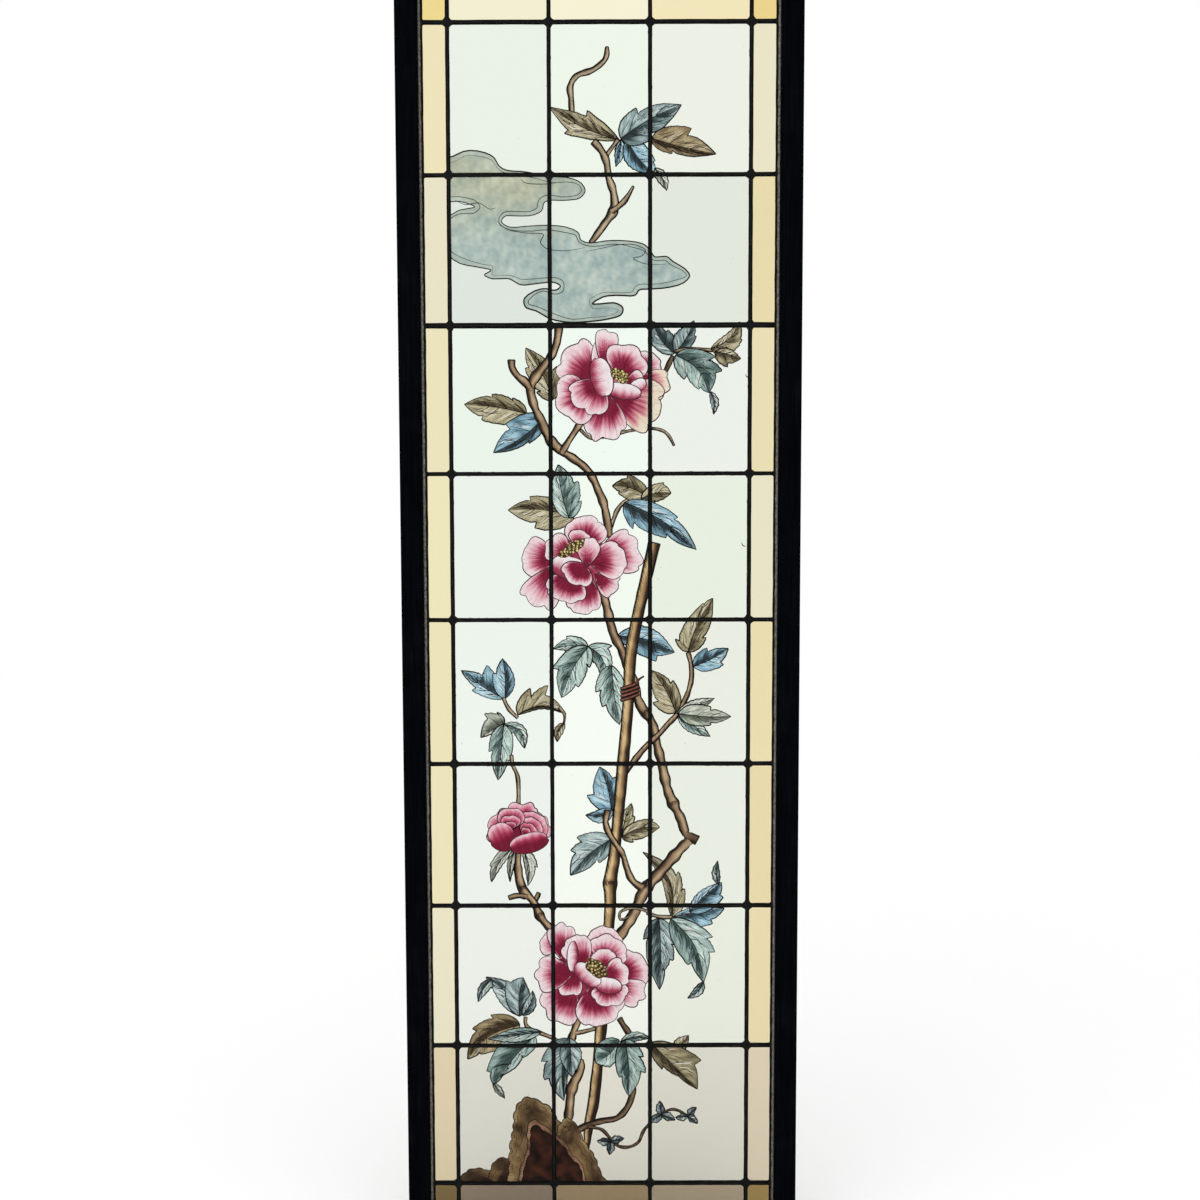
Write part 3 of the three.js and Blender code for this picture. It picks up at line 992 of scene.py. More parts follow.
def sky():
    """The scroll cloud of the second row, and the twig and leaves above it."""
    branch(
        [10 + 1595j, 8 + 1580j, -8 + 1566j, -30 + 1558j, -38 + 1545j, -37 + 1530j, -36 + 1511j],
        (4.5, 6, 7, 7, 6), TWIG,
    )
    leaf(28 + 1477j, -7 - 35j, BLUE, 0.17, 0.05, deep=-0.14)
    leaf(35 + 1477j, 37 - 45j, BLUE, 0.26, -0.06, (37 - 27j,), cut=0.2)
    leaf(68 + 1478j, 84 - 20j, BROWN, 0.16, -0.02, (51 + 13j, 27 - 19j), cut=0.4, deep=0.08)
    leaf(28 + 1478j, 79 + 43j, SLATE, 0.2, 0.04, (20 + 39j, 42 + 1j), cut=0.4, swell=0.32)
    leaf(26 + 1476j, -92 + 43j, OLIVE, 0.19, 0.05, (-42 + 38j, -72 + 9j), swell=0.06, deep=-0.08)
    leaf(72 + 1440j, 16 - 29j, SAGE, 0.2, 0.08, deep=-0.2)
    branch([24 + 1477j, 18 + 1469j, 10 + 1457j, 8 + 1448j], (4, 5), TWIG)
    branch(
        [-8 + 1475j, 3 + 1462j, 9 + 1448j, 12 + 1428j, 18 + 1410j, 19 + 1388j, 6 + 1368j, -12 + 1344j],
        (9, 8, 8, 9, 11, 8, 7), TWIG,
    )
    branch([15 + 1384j, 26 + 1392j, 36 + 1403j, 44 + 1417j], (7, 7, 5, 3), TWIG, open_ends=(True, False))
    cloud([
        -206 + 1451j, -192 + 1456j, -175 + 1463j, -155 + 1462j, -139 + 1455j, -131 + 1443j, -122 + 1438j,
        -98 + 1436j, -66 + 1430j, -40 + 1428j, -24 + 1421j, -19 + 1411j, -26 + 1402j, -46 + 1399j,
        -66 + 1399j, -73 + 1396j, -76 + 1386j, -88 + 1380j, -108 + 1379j, -124 + 1379j, -129 + 1372j,
        -119 + 1365j, -94 + 1366j, -66 + 1367j, -42 + 1364j, -28 + 1357j, -25 + 1348j, -14 + 1344j,
        12 + 1347j, 40 + 1346j, 58 + 1342j, 67 + 1333j, 72 + 1326j, 88 + 1326j, 97 + 1319j, 112 + 1310j,
        118 + 1301j, 110 + 1292j, 90 + 1286j, 66 + 1284j, 52 + 1283j, 46 + 1276j, 22 + 1276j, 4 + 1274j,
        -10 + 1265j, 2 + 1265j, 20 + 1266j, 30 + 1260j, 28 + 1251j, 10 + 1245j, -14 + 1242j, -42 + 1241j,
        -66 + 1246j, -84 + 1256j, -98 + 1261j, -100 + 1271j, -90 + 1280j, -74 + 1285j, -58 + 1283j,
        -52 + 1288j, -60 + 1293j, -80 + 1292j, -104 + 1290j, -120 + 1298j, -142 + 1298j, -152 + 1303j,
        -143 + 1309j, -160 + 1313j, -184 + 1318j, -198 + 1328j, -207 + 1350j, -204 + 1372j, -186 + 1386j,
        -164 + 1391j, -182 + 1398j, -206 + 1400j,
    ])
    for scroll in (
        [-134 + 1372j, -122 + 1362j, -96 + 1357j, -74 + 1355j, -78 + 1345j, -70 + 1337j, -46 + 1334j,
         -20 + 1338j],
        [-18 + 1333j, 2 + 1337j, 28 + 1342j, 48 + 1341j, 60 + 1334j, 55 + 1327j, 44 + 1324j, 58 + 1317j,
         86 + 1316j],
        [-190 + 1400j, -176 + 1394j, -158 + 1396j, -144 + 1388j, -136 + 1390j],
        [-104 + 1428j, -98 + 1422j, -78 + 1420j, -58 + 1421j],
    ):
        ink("slate", curve(scroll), SCROLL, "both")


def upper_flowers():
    """Rows three and four: the stem that climbs to the cloud, its leaves, and the upper flower."""
    leaf(-62 + 1140j, -36 + 68j, OLIVE, 0.2, -0.04, (-37 + 41j, 5 + 43j, -22 + 10j))
    leaf(-98 + 1122j, -82 + 12j, OLIVE, 0.2, -0.03, (-18 + 20j, -45 + 25j, -59 - 8j), cut=0.26)
    leaf(-74 + 1116j, -68 - 46j, BLUE, 0.2, 0.06, (-51 - 8j, -20 - 33j), 1, deep=0.2)
    leaf(-35 + 985j, -88 + 9j, OLIVE, 0.2, -0.06, (-59 + 27j, -52 - 15j))
    leaf(-42 + 983j, -14 + 71j, TEAL, 0.28, 0.04, (12 + 49j, 17 + 23j, -24 + 37j), cut=0.26, deep=-0.08)
    branch([10 + 962j, 17 + 980j, 22 + 993j, 31 + 1004j, 44 + 1009j, 64 + 1009j], (5.5, 4.6, 4), TWIG)
    leaf(64 + 1010j, -48 + 16j, OLIVE, 0.3, -0.1, (-28 + 31j, -40 + 6j), deep=0.16)
    leaf(54 + 1008j, 40 + 8j, OLIVE, 0.3, 0.1, (30 + 22j, 18 - 4j), cut=0.2)
    leaf(32 + 1004j, 96 - 63j, BLUE, 0.18, 0.06, (11 - 36j, 55 - 47j, 71 - 20j), swell=0.2)
    branch(
        [-26 + 1100j, -14 + 1090j, 6 + 1091j, 36 + 1098j, 64 + 1102j, 86 + 1097j, 98 + 1079j],
        (3.8, 3.6, 3.2), TWIG,
    )
    branch(
        [-54 + 1240j, -59 + 1208j, -72 + 1187j, -86 + 1169j, -92 + 1154j, -87 + 1131j, -77 + 1110j,
         -67 + 1088j, -52 + 1073j, -34 + 1061j, -20 + 1050j, -10 + 1036j, -3 + 1020j, 4 + 1003j, 8 + 985j,
         12 + 958j],
        (9, 9, 9, 12, 11, 10, 11, 12, 9, 9, 9, 10, 10, 9),
    )
    branch(
        [-117 + 1192j, -116 + 1181j, -109 + 1171j, -99 + 1163j, -92 + 1152j],
        (8, 8, 9, 9), open_ends=(False, True),
    )
    branch([-24 + 1112j, -36 + 1094j, -45 + 1080j, -52 + 1069j], (8, 7, 7, 8), open_ends=(False, True))
    leaf(99 + 1200j, -29 + 42j, SLATE, 0.36, 0.1, (-33 + 16j, -9 + 30j), deep=0.18)
    leaf(99 + 1200j, 25 + 43j, SLATE, 0.3, -0.06, (28 + 22j,), deep=0.12)
    branch([96 + 1197j, 88 + 1180j, 80 + 1166j], (5, 6), ROOT)
    branch([100 + 1203j, 118 + 1206j, 148 + 1204j], (4.5, 3.6))
    leaf(146 + 1206j, 38 + 35j, OLIVE, 0.14, -0.14, (30 - 6j, 41 + 12j), cut=0.2, deep=-0.14)
    leaf(152 + 1202j, 34 - 9j, OLIVE, 0.2, 0.03, (16 - 20j,), deep=0.14)
    leaf(146 + 1150j, 4 - 30j, SLATE, 0.16, 0.12, deep=-0.2)
    leaf(
        100 + 1198j, 44 - 50j, TEAL, 0.3, 0.14, (11 - 32j, 30 - 45j, 52 - 2j, 61 - 21j), 1, 0.36, deep=0.14,
    )
    upper_flower()


def upper_flower():
    bed(12 + 1158j, 44, 36)
    petal(44 + 1172j, 36, 39, 50, 0.55)
    petal(48 + 1165j, -12, 44, 48, 0.4, ramp=CREAM)
    petal(4 + 1152j, -20, 84, 40, 0.5, ramp=CREAM)
    petal(8 + 1152j, -91, 66, 42, 0.52, 4)
    petal(-4 + 1166j, 140, 59, 52, 0.42)
    petal(-14 + 1150j, 205, 47, 84, 0.5)
    petal(-10 + 1174j, 72, 43, 24, 0.1, 1, INNER)
    petal(5 + 1176j, 84, 55, 27, 0.42, 2)
    petal(26 + 1172j, 60, 42, 80, 0.42)
    petal(2 + 1168j, 236, 52, 56, 0.5, 4)
    petal(34 + 1163j, 2, 25, 60, 0.3)
    cup(54 + 1151j, 116, 17, 24, 0.0, 2)
    cup(29 + 1140j, 80, 22, 50, 0.15, 2)
    cup(-13 + 1166j, 12, 31, 52, 0.12, 2)
    stamens(26 + 1171j, 12.5, 7.5, -35)


def middle_flower():
    bed(-26 + 920j, 46, 38)
    petal(-58 + 930j, 176, 49, 54, 0.42)
    petal(-8 + 930j, 12, 64, 46, 0.5, 4)
    petal(-22 + 946j, 84, 40, 82, 0.42)
    petal(-8 + 908j, -34, 37, 46, 0.5)
    petal(-58 + 922j, 241, 66, 38, 0.42)
    petal(-14 + 908j, -104, 54, 44, 0.55)
    petal(-38 + 908j, -112, 41, 74, 0.58, 4)
    petal(-42 + 936j, 152, 34, 62, 0.35)
    petal(-30 + 946j, 82, 23, 64, 0.35)
    petal(-18 + 926j, 3, 52, 50, 0.42)
    cup(-46 + 901j, 76, 33, 50, 0.3, 2)
    petal(-19 + 916j, 84, 40, 40, 0.25, 1)
    petal(-22 + 923j, 238, 33, 72, 0.62)
    stamens(-38 + 943j, 19, 6.5, 33)


def lowest_flower():
    bed(-18 + 356j, 50, 44)
    petal(-56 + 402j, 165, 29, 64, 0.3)
    petal(-50 + 376j, 97, 56, 34, 0.5)
    petal(-36 + 344j, 230, 57, 54, 0.5)
    petal(-36 + 370j, 246, 40, 54, 0.6)
    petal(-36 + 364j, 182, 55, 46, 0.5)
    petal(22 + 360j, 28, 43, 76, 0.45)
    petal(10 + 348j, -22, 52, 38, 0.4)
    petal(4 + 394j, 86, 34, 84, 0.25, 4)
    petal(3 + 380j, 64, 38, 82, 0.35, 4)
    petal(-22 + 366j, 112, 51, 42, 0.42)
    cup(-32 + 386j, 178, 15, 46, 0.15, 1)
    petal(-12 + 348j, -72, 59, 62, 0.55)
    petal(8 + 350j, -80, 35, 84, 0.52, 4)
    petal(2 + 370j, 86, 27, 72, 0.3)
    petal(3 + 358j, 20, 36, 56, 0.35)
    cup(8 + 334j, 84, 24, 38, 0.2, 2)
    cup(-28 + 352j, 46, 25, 46, 0.12, 2)
    stamens(-7 + 370j, 16, 10, -40)


def bud():
    """The half open flower: nested pale rims above, two deep cups below."""
    petal(-128 + 549j, 160, 28, 44, 0.4, 2, BUD)
    petal(-104 + 550j, 40, 42, 48, 0.4, 3, BUD)
    petal(-122 + 552j, 126, 40, 46, 0.4, 2, BUD)
    petal(-114 + 546j, 84, 55, 44, 0.55, 4, BUD)
    for reach in (38, 30, 22, 14):
        petal(-106 + 552j, 52, reach, 62, 0.45, 3, BUD, 0.08)
    for reach in (30, 21, 12):
        petal(-123 + 562j, 88, reach, 68, 0.4, 2, BUD, 0.08)
    cup(-126 + 533j, 114, 42, 37, 0.35, 2, BUD)
    cup(-94 + 530j, 106, 29, 54, 0.45, 2, BUD)


def leaves_by_cane():
    """The leaves behind the cane in rows five and six."""
    leaf(22 + 825j, 77 - 22j, BLUE, 0.2, 0.08, (52 - 34j,), swell=0.1)
    leaf(-17 + 811j, -47 - 3j, TEAL, 0.14, -0.06, (-29 + 14j,), deep=-0.3)
    leaf(-17 + 811j, 18 - 42j, TEAL, 0.26, 0.24, (32 + 1j, 32 - 24j), swell=0.2, deep=-0.06)
    leaf(-17 + 811j, -36 - 69j, TEAL, 0.24, -0.06, (-47 - 29j, -13 - 54j, 2 - 28j), deep=-0.08)
    leaf(14 + 786j, 11 - 81j, TEAL, 0.2, -0.02, (-21 - 36j, -12 - 56j), deep=-0.18)
    leaf(14 + 588j, -16 + 60j, BLUE, 0.28, -0.05, (-33 + 21j, 5 + 46j), cut=0.35)
    leaf(16 + 590j, -37 - 8j, BLUE, 0.24, 0.16)
    leaf(14 + 549j, -56 - 50j, SLATE, 0.26, -0.06, (-47 + 2j, -55 - 16j, -17 - 33j), 1, deep=-0.06)
    leaf(28 + 554j, 13 + 44j, OLIVE, 0.15, 0.04, (17 + 26j,), deep=-0.3)
    leaf(28 + 552j, 51 + 13j, OLIVE, 0.22, 0.1, (42 + 24j, 16 - 7j))
    leaf(96 + 440j, -40 + 91j, OLIVE, 0.1, -0.18, (17 + 40j, 9 + 63j), 1)


def cane_and_stem():
    """The long stem with the cane that it is tied to, between the second flower and the lowest one."""
    leaves_by_cane()
    branch(
        [-1 + 892j, 5 + 876j, 9 + 860j, 13 + 842j, 18 + 826j, 27 + 809j, 33 + 794j, 40 + 775j, 46 + 755j,
         50 + 740j, 56 + 727j, 66 + 714j, 71 + 701j, 76 + 676j, 82 + 652j, 86 + 632j, 91 + 612j, 99 + 594j,
         108 + 576j, 112 + 563j, 117 + 551j],
        (10, 11, 11, 12, 11, 10, 12, 12, 11), knots=(0.5, 0.86), open_ends=(True, True),
    )
    branch(
        [32 + 640j, 42 + 653j, 54 + 668j, 64 + 679j, 76 + 690j, 90 + 706j, 102 + 719j, 111 + 735j,
         118 + 752j, 122 + 772j, 120 + 792j, 117 + 803j],
        (7, 7, 6.4, 6, 5.4, 5),
    )
    branch([114 + 552j, 123 + 550j, 130 + 547j], (15, 15, 12), ROOT, open_ends=(True, False))
    branch(
        [119 + 547j, 110 + 538j, 97 + 523j, 85 + 509j, 72 + 494j, 60 + 480j, 51 + 463j, 45 + 448j,
         35 + 430j, 20 + 408j],
        (13, 14, 13, 14, 14, 13, 13), knots=(0.5,), open_ends=(True, True),
    )
    branch(
        [72 + 950j, 48 + 845j, 40 + 800j, 37 + 740j, 34 + 700j, 30 + 655j, 25 + 600j, 21 + 560j,
         17 + 520j, 12 + 490j, 12 + 460j, 10 + 430j, 6 + 400j],
        (15, 14, 14, 15, 14, 14, 15, 14, 13, 16, 14, 13), CANE, -0.35, knots=(0.84,),
    )
    branch(
        [9 + 588j, 6 + 572j, 11 + 556j, 20 + 542j, 29 + 528j, 35 + 508j, 42 + 492j, 56 + 481j],
        (8, 7, 7, 7, 10), open_ends=(False, True),
    )
    tie(39 + 758j, 24)


def right_sprays():
    """Leaves on the side shoots to the right of the cane."""
    leaf(117 + 804j, 33 + 72j, OLIVE, 0.18, 0.05, (-17 + 17j, 20 + 65j, 24 + 18j), cut=0.3)
    leaf(124 + 784j, 47 + 24j, BLUE, 0.24, -0.04, (18 + 25j, 40 + 2j), 1, 0.4)
    leaf(101 + 722j, -33 + 57j, OLIVE, 0.24, -0.05, (-31 + 13j, -4 + 43j))
    leaf(102 + 720j, 51 + 21j, SAGE, 0.15, deep=-0.2)
    leaf(103 + 717j, 44 - 28j, TEAL, 0.18, deep=-0.26)
    leaf(104 + 720j, 71 - 4j, SAGE, 0.17, -0.03, (44 + 9j, 44 - 15j))


def left_sprays():
    """The bud at the left, its stem, and the leaves above and below it."""
    leaf(
        -130 + 741j, -58 + 38j, BLUE, 0.24, 0.03, (-43 + 11j, -23 + 45j), cut=0.55, swell=0.14, deep=-0.2,
    )
    leaf(-129 + 741j, -3 + 54j, BLUE, 0.22, -0.04, (-16 + 34j,))
    branch([-131 + 742j, -124 + 727j, -112 + 715j], (4.6, 4), TWIG)
    leaf(-49 + 708j, -10 - 26j, OLIVE, 0.2, -0.12)
    leaf(-112 + 719j, 65 + 1j, OLIVE, 0.06, 0.18, (17 + 36j, 41 + 40j), cut=0.5, deep=0.12)
    branch([-56 + 729j, -49 + 719j, -50 + 707j], (5, 3.4, 2), TWIG)
    leaf(-130 + 707j, -32 - 19j, SAGE, 0.14, -0.04, (-27 + 13j, -10 + 16j), deep=-0.08)
    leaf(-131 + 706j, 28 - 33j, TEAL, 0.16, 0.26, (13 - 12j,), swell=0.1, deep=-0.08)
    leaf(-131 + 706j, -8 - 76j, TEAL, 0.2, 0.0, (-20 - 36j, 7 - 50j), deep=-0.08)
    branch([-121 + 664j, -119 + 650j, -113 + 636j, -112 + 598j], (4, 4.6, 5), TWIG)
    leaf(-120 + 537j, -29 - 47j, SAGE, 0.1, -0.1, (-31 - 25j,), deep=-0.3)
    leaf(-106 + 535j, 6 - 51j, SAGE, 0.1, 0.1, (19 - 24j,), deep=-0.25)
    leaf(-116 + 538j, -8 - 48j, SAGE, 0.09, -0.06, deep=-0.2)
    branch([-92 + 460j, -88 + 468j, -85 + 475j], (6, 5), open_ends=(True, False))
    branch(
        [-112 + 532j, -113 + 514j, -111 + 494j, -106 + 478j, -92 + 462j, -83 + 442j, -64 + 420j],
        (7, 9, 11, 10, 9, 10, 9), knots=(0.4, 0.75),
    )
    branch([-126 + 468j, -115 + 471j, -100 + 469j], (6, 7), open_ends=(False, True))
    bud()


def lower_leaves():
    """Leaves round the lowest flower, the tendril, and the shoots below it."""
    leaf(97 + 441j, 70 + 12j, BLUE, 0.1, 0.02, (54 - 9j,), deep=-0.26)
    leaf(120 + 448j, 43 + 41j, BLUE, 0.14, 0.04, (45 + 20j,), deep=-0.16)
    leaf(159 + 486j, -1 + 33j, SLATE, 0.14, 0.1)
    leaf(78 + 439j, 1 - 99j, SLATE, 0.2, 0.02, (-21 - 29j, 23 - 37j, 19 - 58j, 8 - 71j), cut=0.3)
    leaf(94 + 439j, 45 - 89j, TEAL, 0.2, 0.12, (24 - 64j, 57 - 25j, 60 - 46j), swell=0.18)
    leaf(139 + 351j, -22 - 23j, SLATE, 0.18, 0.12)
    branch([66 + 447j, 54 + 452j, 36 + 453j, 25 + 447j, 26 + 438j, 36 + 441j], (4, 3.4, 3, 2.6), TWIG)
    branch([62 + 447j, 76 + 442j, 96 + 441j], (4, 5), TWIG)
    leaf(-113 + 304j, -45 + 54j, SLATE, 0.2, -0.1, deep=-0.16)
    leaf(-112 + 303j, 5 + 54j, SLATE, 0.3, 0.06, (-18 + 50j,), deep=0.08)
    leaf(-150 + 355j, -19 - 32j, SLATE, 0.16, -0.08, (1 - 13j,), swell=0.05)
    leaf(-108 + 304j, 14 + 35j, SLATE, 0.2, -0.1)
    branch([-104 + 302j, -103 + 290j, -86 + 280j, -66 + 272j, -56 + 264j], (4, 5))
    leaf(-112 + 291j, -72 - 48j, BROWN, 0.2, -0.12, (-39 + 14j, -64 - 5j, -54 - 41j), cut=0.28)
    leaf(
        -92 + 277j, -57 - 70j, TEAL, 0.22, -0.02, (-66 - 51j, -45 - 57j, -16 - 32j), swell=0.34, deep=0.08,
    )
    leaf(-149 + 209j, 16 - 22j, SAGE, 0.16)
    leaf(-82 + 281j, -74 - 10j, TEAL, 0.125)


def foot():
    """The lowest row: the stems' feet, the leaves over them and the vine beside the rock."""
    branch([-26 + 310j, -35 + 290j, -44 + 262j], (9, 9))
    branch([-36 + 279j, -14 + 284j, 5 + 290j], (5, 4.6), open_ends=(True, True))
    branch([24 + 300j, 30 + 290j, 38 + 278j], (7, 7), ROOT)
    branch(
        [1 + 302j, -2 + 275j, -5 + 240j, -8 + 210j, -12 + 178j, -18 + 150j, -21 + 116j],
        (15, 14, 13, 14, 14, 12, 7), CANE, -0.6, open_ends=(True, True),
    )
    branch(
        [42 + 216j, 41 + 190j, 32 + 170j, 20 + 159j, 0 + 155j, -18 + 150j, -34 + 142j],
        (8, 8, 7, 7, 9), ROOT,
    )
    branch(
        [-29 + 242j, -30 + 226j, -37 + 212j, -42 + 198j, -44 + 178j, -47 + 152j],
        (8, 11, 14, 12, 11, 10), open_ends=(False, True),
    )
    leaf(-46 + 272j, -6 - 88j, SLATE, 0.1, -0.06, (-37 - 32j, -33 - 58j), 1, 0.3, deep=0.2)
    leaf(-44 + 273j, 3 - 56j, SLATE, 0.26)
    leaf(26 + 267j, 41 + 5j, TEAL, 0.15, 0.12)
    leaf(24 + 269j, -33 - 31j, TEAL, 0.34, 0.1, (-32 - 7j, -14 - 38j), cut=0.16)
    leaf(32 + 270j, 5 - 80j, TEAL, 0.22, 0.03, (-8 - 53j, 28 - 46j, 25 - 24j), deep=0.16)
    leaf(100 + 254j, 19 + 22j, OLIVE, 0.3)
    leaf(66 + 266j, 65 - 66j, OLIVE, 0.2, 0.0, (16 - 37j, 38 - 47j, 70 - 25j), swell=0.17, deep=0.28)
    branch(
        [-20 + 147j, 0 + 143j, 12 + 130j, 22 + 120j, 36 + 118j, 50 + 125j, 57 + 141j, 66 + 152j,
         80 + 165j, 98 + 172j, 118 + 162j],
        (3.8, 3.4, 3), ROOT,
    )
    sprig(12 + 126j, 19, (176, 264, 14))
    sprig(82 + 164j, 20, (97, 209, -22))
    sprig(118 + 162j, 17, (186, 47, -38))


def rock():
    """A garden rock: a pale scalloped shell round a dark hollow."""
    stone(
        [-202 + 56j, -194 + 74j, -184 + 84j, -172 + 87j, -156 + 83j, -146 + 72j, -140 + 56j],
        ROCK_LOW, scallop=2,
    )
    stone(
        [-152 + 56j, -152 + 88j, -146 + 98j, -136 + 102j, -122 + 98j, -104 + 96j, -100 + 56j],
        ROCK_LOW, scallop=2,
    )
    stone([-190 + 56j, -180 + 70j, -168 + 76j, -152 + 70j, -146 + 56j], ROCK_DARK, 9, 0.7, scratches=0)
    stone([-146 + 56j, -136 + 82j, -122 + 92j, -108 + 92j, -100 + 56j], ROCK_DARK, 9, 0.7, scratches=0)
    stone(
        [-124 + 56j, -126 + 92j, -125 + 118j, -120 + 146j, -118 + 168j, -112 + 180j, -101 + 187j,
         -88 + 182j, -75 + 175j, -65 + 160j, -50 + 138j, -34 + 106j, -30 + 56j],
        ROCK, scallop=3, scratches=2,
    )
    stone(
        [-64 + 56j, -62 + 130j, -56 + 150j, -47 + 158j, -38 + 150j, -26 + 126j, -12 + 104j, -4 + 82j,
         8 + 56j],
        ROCK, scallop=2.6, scratches=2,
    )
    stone(
        [-110 + 56j, -110 + 90j, -102 + 114j, -101 + 146j, -95 + 156j, -82 + 149j, -64 + 135j, -49 + 121j,
         -42 + 107j, -30 + 95j, -25 + 74j, -23 + 56j],
        LIP, 12, 1.2, 0.2, 1.8, 0,
    )
    stone(
        [-106 + 56j, -106 + 88j, -98 + 112j, -97 + 140j, -93 + 149j, -82 + 142j, -64 + 128j, -51 + 115j,
         -44 + 102j, -32 + 90j, -28 + 74j, -26 + 56j],
        ROCK_CORE, 9, 1.0, -0.3, 2.0,
    )
    stone(
        [-104 + 56j, -100 + 70j, -88 + 76j, -72 + 71j, -58 + 76j, -42 + 68j, -34 + 56j],
        ROCK_DARK, 9, 0.6, -0.3, scratches=0,
    )


SPECKS, CRUMBS = 90, 420


def specks():
    """Grime: dots on the glass, crumbs of cement beside the cames, and two small hooked marks."""
    left, right = COLUMN_LINES[0], COLUMN_LINES[-1]
    bottom, top = ROW_LINES[-1], ROW_LINES[0]
    for _ in range(SPECKS):
        place = complex(rng.uniform(left, right), rng.uniform(bottom, top))
        size = draw(0.3, 0.9)
        ink("moss", [place, place + size * (1 + 0.4j)], size)
    for _ in range(CRUMBS):
        line = float(rng.choice(COLUMN_LINES))
        aside = float(rng.choice((-1, 1)) * rng.uniform(2.6, 3.3))
        place = complex(line + aside, rng.uniform(bottom, top))
        ink("black", [place, place + 1j * draw(1, 5)], draw(0.5, 1.1), "both")
        level = float(rng.choice(ROW_LINES))
        place = complex(rng.uniform(left, right), level + aside)
        ink("black", [place, place + draw(1, 5)], draw(0.5, 1.1), "both")
    for place in (192 + 1173j, 188 + 950j):
        ink("black", curve([place, place + 2 - 4j, place + 6 - 5j], 1), 1.3, "both")


# A later group covers an earlier one.
GROUPS = (
    sky, upper_flowers, cane_and_stem, right_sprays, left_sprays, lower_leaves, foot, rock,
    middle_flower, lowest_flower, specks,
)


# ---------------------------------------------------------------- from painting to meshes

# In mm. GRID is the distance between the places inside an area that carry its colour, and GRID_ROW
# the share of it between their rows. WASH_STAND and INK_BACK are how far the wash and the backs of
# the lines stand in front of the glass.
UNDER_FLANGE = 1.7
GRID = 2.3
GRID_ROW = 0.87
SAME_PLACE = 0.001
WASH_STAND = 0.05
INK_BACK = 0.01
LINE_STEP = 1.0
# A thinned line keeps a place at least every so much of turn, in radians, and of length.
MOST_TURN, MOST_RUN = 0.2, 9


def pane_bounds(row, column):
    """The painted part of a pane, which ends under the cames' flanges: left, right, bottom, top."""
    return (
        COLUMN_LINES[column] + UNDER_FLANGE, COLUMN_LINES[column + 1] - UNDER_FLANGE,
        ROW_LINES[row] + UNDER_FLANGE, ROW_LINES[row - 1] - UNDER_FLANGE,
    )


def touches(outline, box):
    left, right, bottom, top = box
    return (
        outline.real.max() > left and outline.real.min() < right
        and outline.imag.max() > bottom and outline.imag.min() < top
    )


def wash_mesh(row, column):
    """One flat sheet of colour for a pane: no area overlaps another, and each corner has its colour."""
    box = pane_bounds(row, column)
    left, right, bottom, top = box
    here = [(outline, wash) for outline, wash in areas if touches(outline, box)]
    if not here:
        return
    places = [complex(left, bottom), complex(right, bottom), complex(right, top), complex(left, top)]
    edges = [(0, 1), (1, 2), (2, 3), (3, 0)]
    for outline, _ in here:
        start = len(places)
        places.extend(outline)
        count = len(outline)
        edges.extend((start + k, start + (k + 1) % count) for k in range(count))
    xs = np.arange(left + GRID / 2, right, GRID)
    zs = np.arange(bottom + GRID / 2, top, GRID * GRID_ROW)
    spread = (xs[None] + 1j * zs[:, None] + GRID / 2 * (np.arange(len(zs)) % 2)[:, None]).ravel()
    covered = np.zeros(len(spread), bool)
    for outline, _ in here:
        covered |= inside(spread, outline)
    places.extend(spread[covered])
    flat = [Vector((p.real, p.imag)) for p in places]
    found, _, triangles, *_ = delaunay_2d_cdt(flat, edges, [], 0, SAME_PLACE, False)
    spots = np.array([complex(v.x, v.y) for v in found])
    triangles = np.array(triangles)
    middles = spots[triangles].mean(1)
    owner = np.full(len(triangles), -1)
    for k, (outline, _) in enumerate(here):
        owner[inside(middles, outline)] = k
    owner[~in_box(middles, np.array([complex(left, bottom), complex(right, top)]))] = -1
    triangles, owner = triangles[owner >= 0], owner[owner >= 0]
    colours = np.ones((len(triangles) * 3, 4), np.float32)
    corners = triangles.ravel()
    for k in np.unique(owner):
        mine = np.repeat(owner == k, 3)
        used, back = np.unique(corners[mine], return_inverse=True)
        colours[mine, :3] = linear(here[k][1](spots[used]))[back]
    used, back = np.unique(corners, return_inverse=True)
    spots = spots[used]
    y = np.full(len(spots), GLASS_FRONT - WASH_STAND)
    faces = back.reshape(-1, 3)
    name = f"painted_wash_{row}_{COLUMNS[column]}"
    made = piece(name, np.stack([spots.real, y, spots.imag], 1), faces.tolist(), [WASH])
    paint_layer = made.data.color_attributes.new("paint", "FLOAT_COLOR", "CORNER")
    paint_layer.data.foreach_set("color", colours.ravel())
    flat_map = made.data.uv_layers.new(name="OFBake")
    size = max(right - left, top - bottom)
    at = spots[back.ravel()]
    uv = np.stack([(at.real - left) / size, (at.imag - bottom) / size], 1)
    flat_map.uv.foreach_set("vector", uv.astype(np.float32).ravel())


def thinned(path, widths):
    """Drops the places that a nearly straight run doesn't need."""
    way = np.angle(np.diff(path))
    turn = np.abs((np.diff(way) + np.pi) % math.tau - np.pi)
    kept = [0]
    bent = 0.0
    gone = 0.0
    for k in range(1, len(path) - 1):
        bent += turn[k - 1]
        gone += abs(path[k] - path[k - 1])
        if bent > MOST_TURN or gone > MOST_RUN:
            kept.append(k)
            bent = gone = 0.0
    kept.append(len(path) - 1)
    return path[kept], widths[kept]


def fine(path, widths):
    """The same line with a place at least every LINE_STEP."""
    count = max(len(path), int(length_of(path) / LINE_STEP) + 2)
    t, at = share(path), np.linspace(0, 1, count)
    return np.interp(at, t, path.real) + 1j * np.interp(at, t, path.imag), np.interp(at, t, widths)


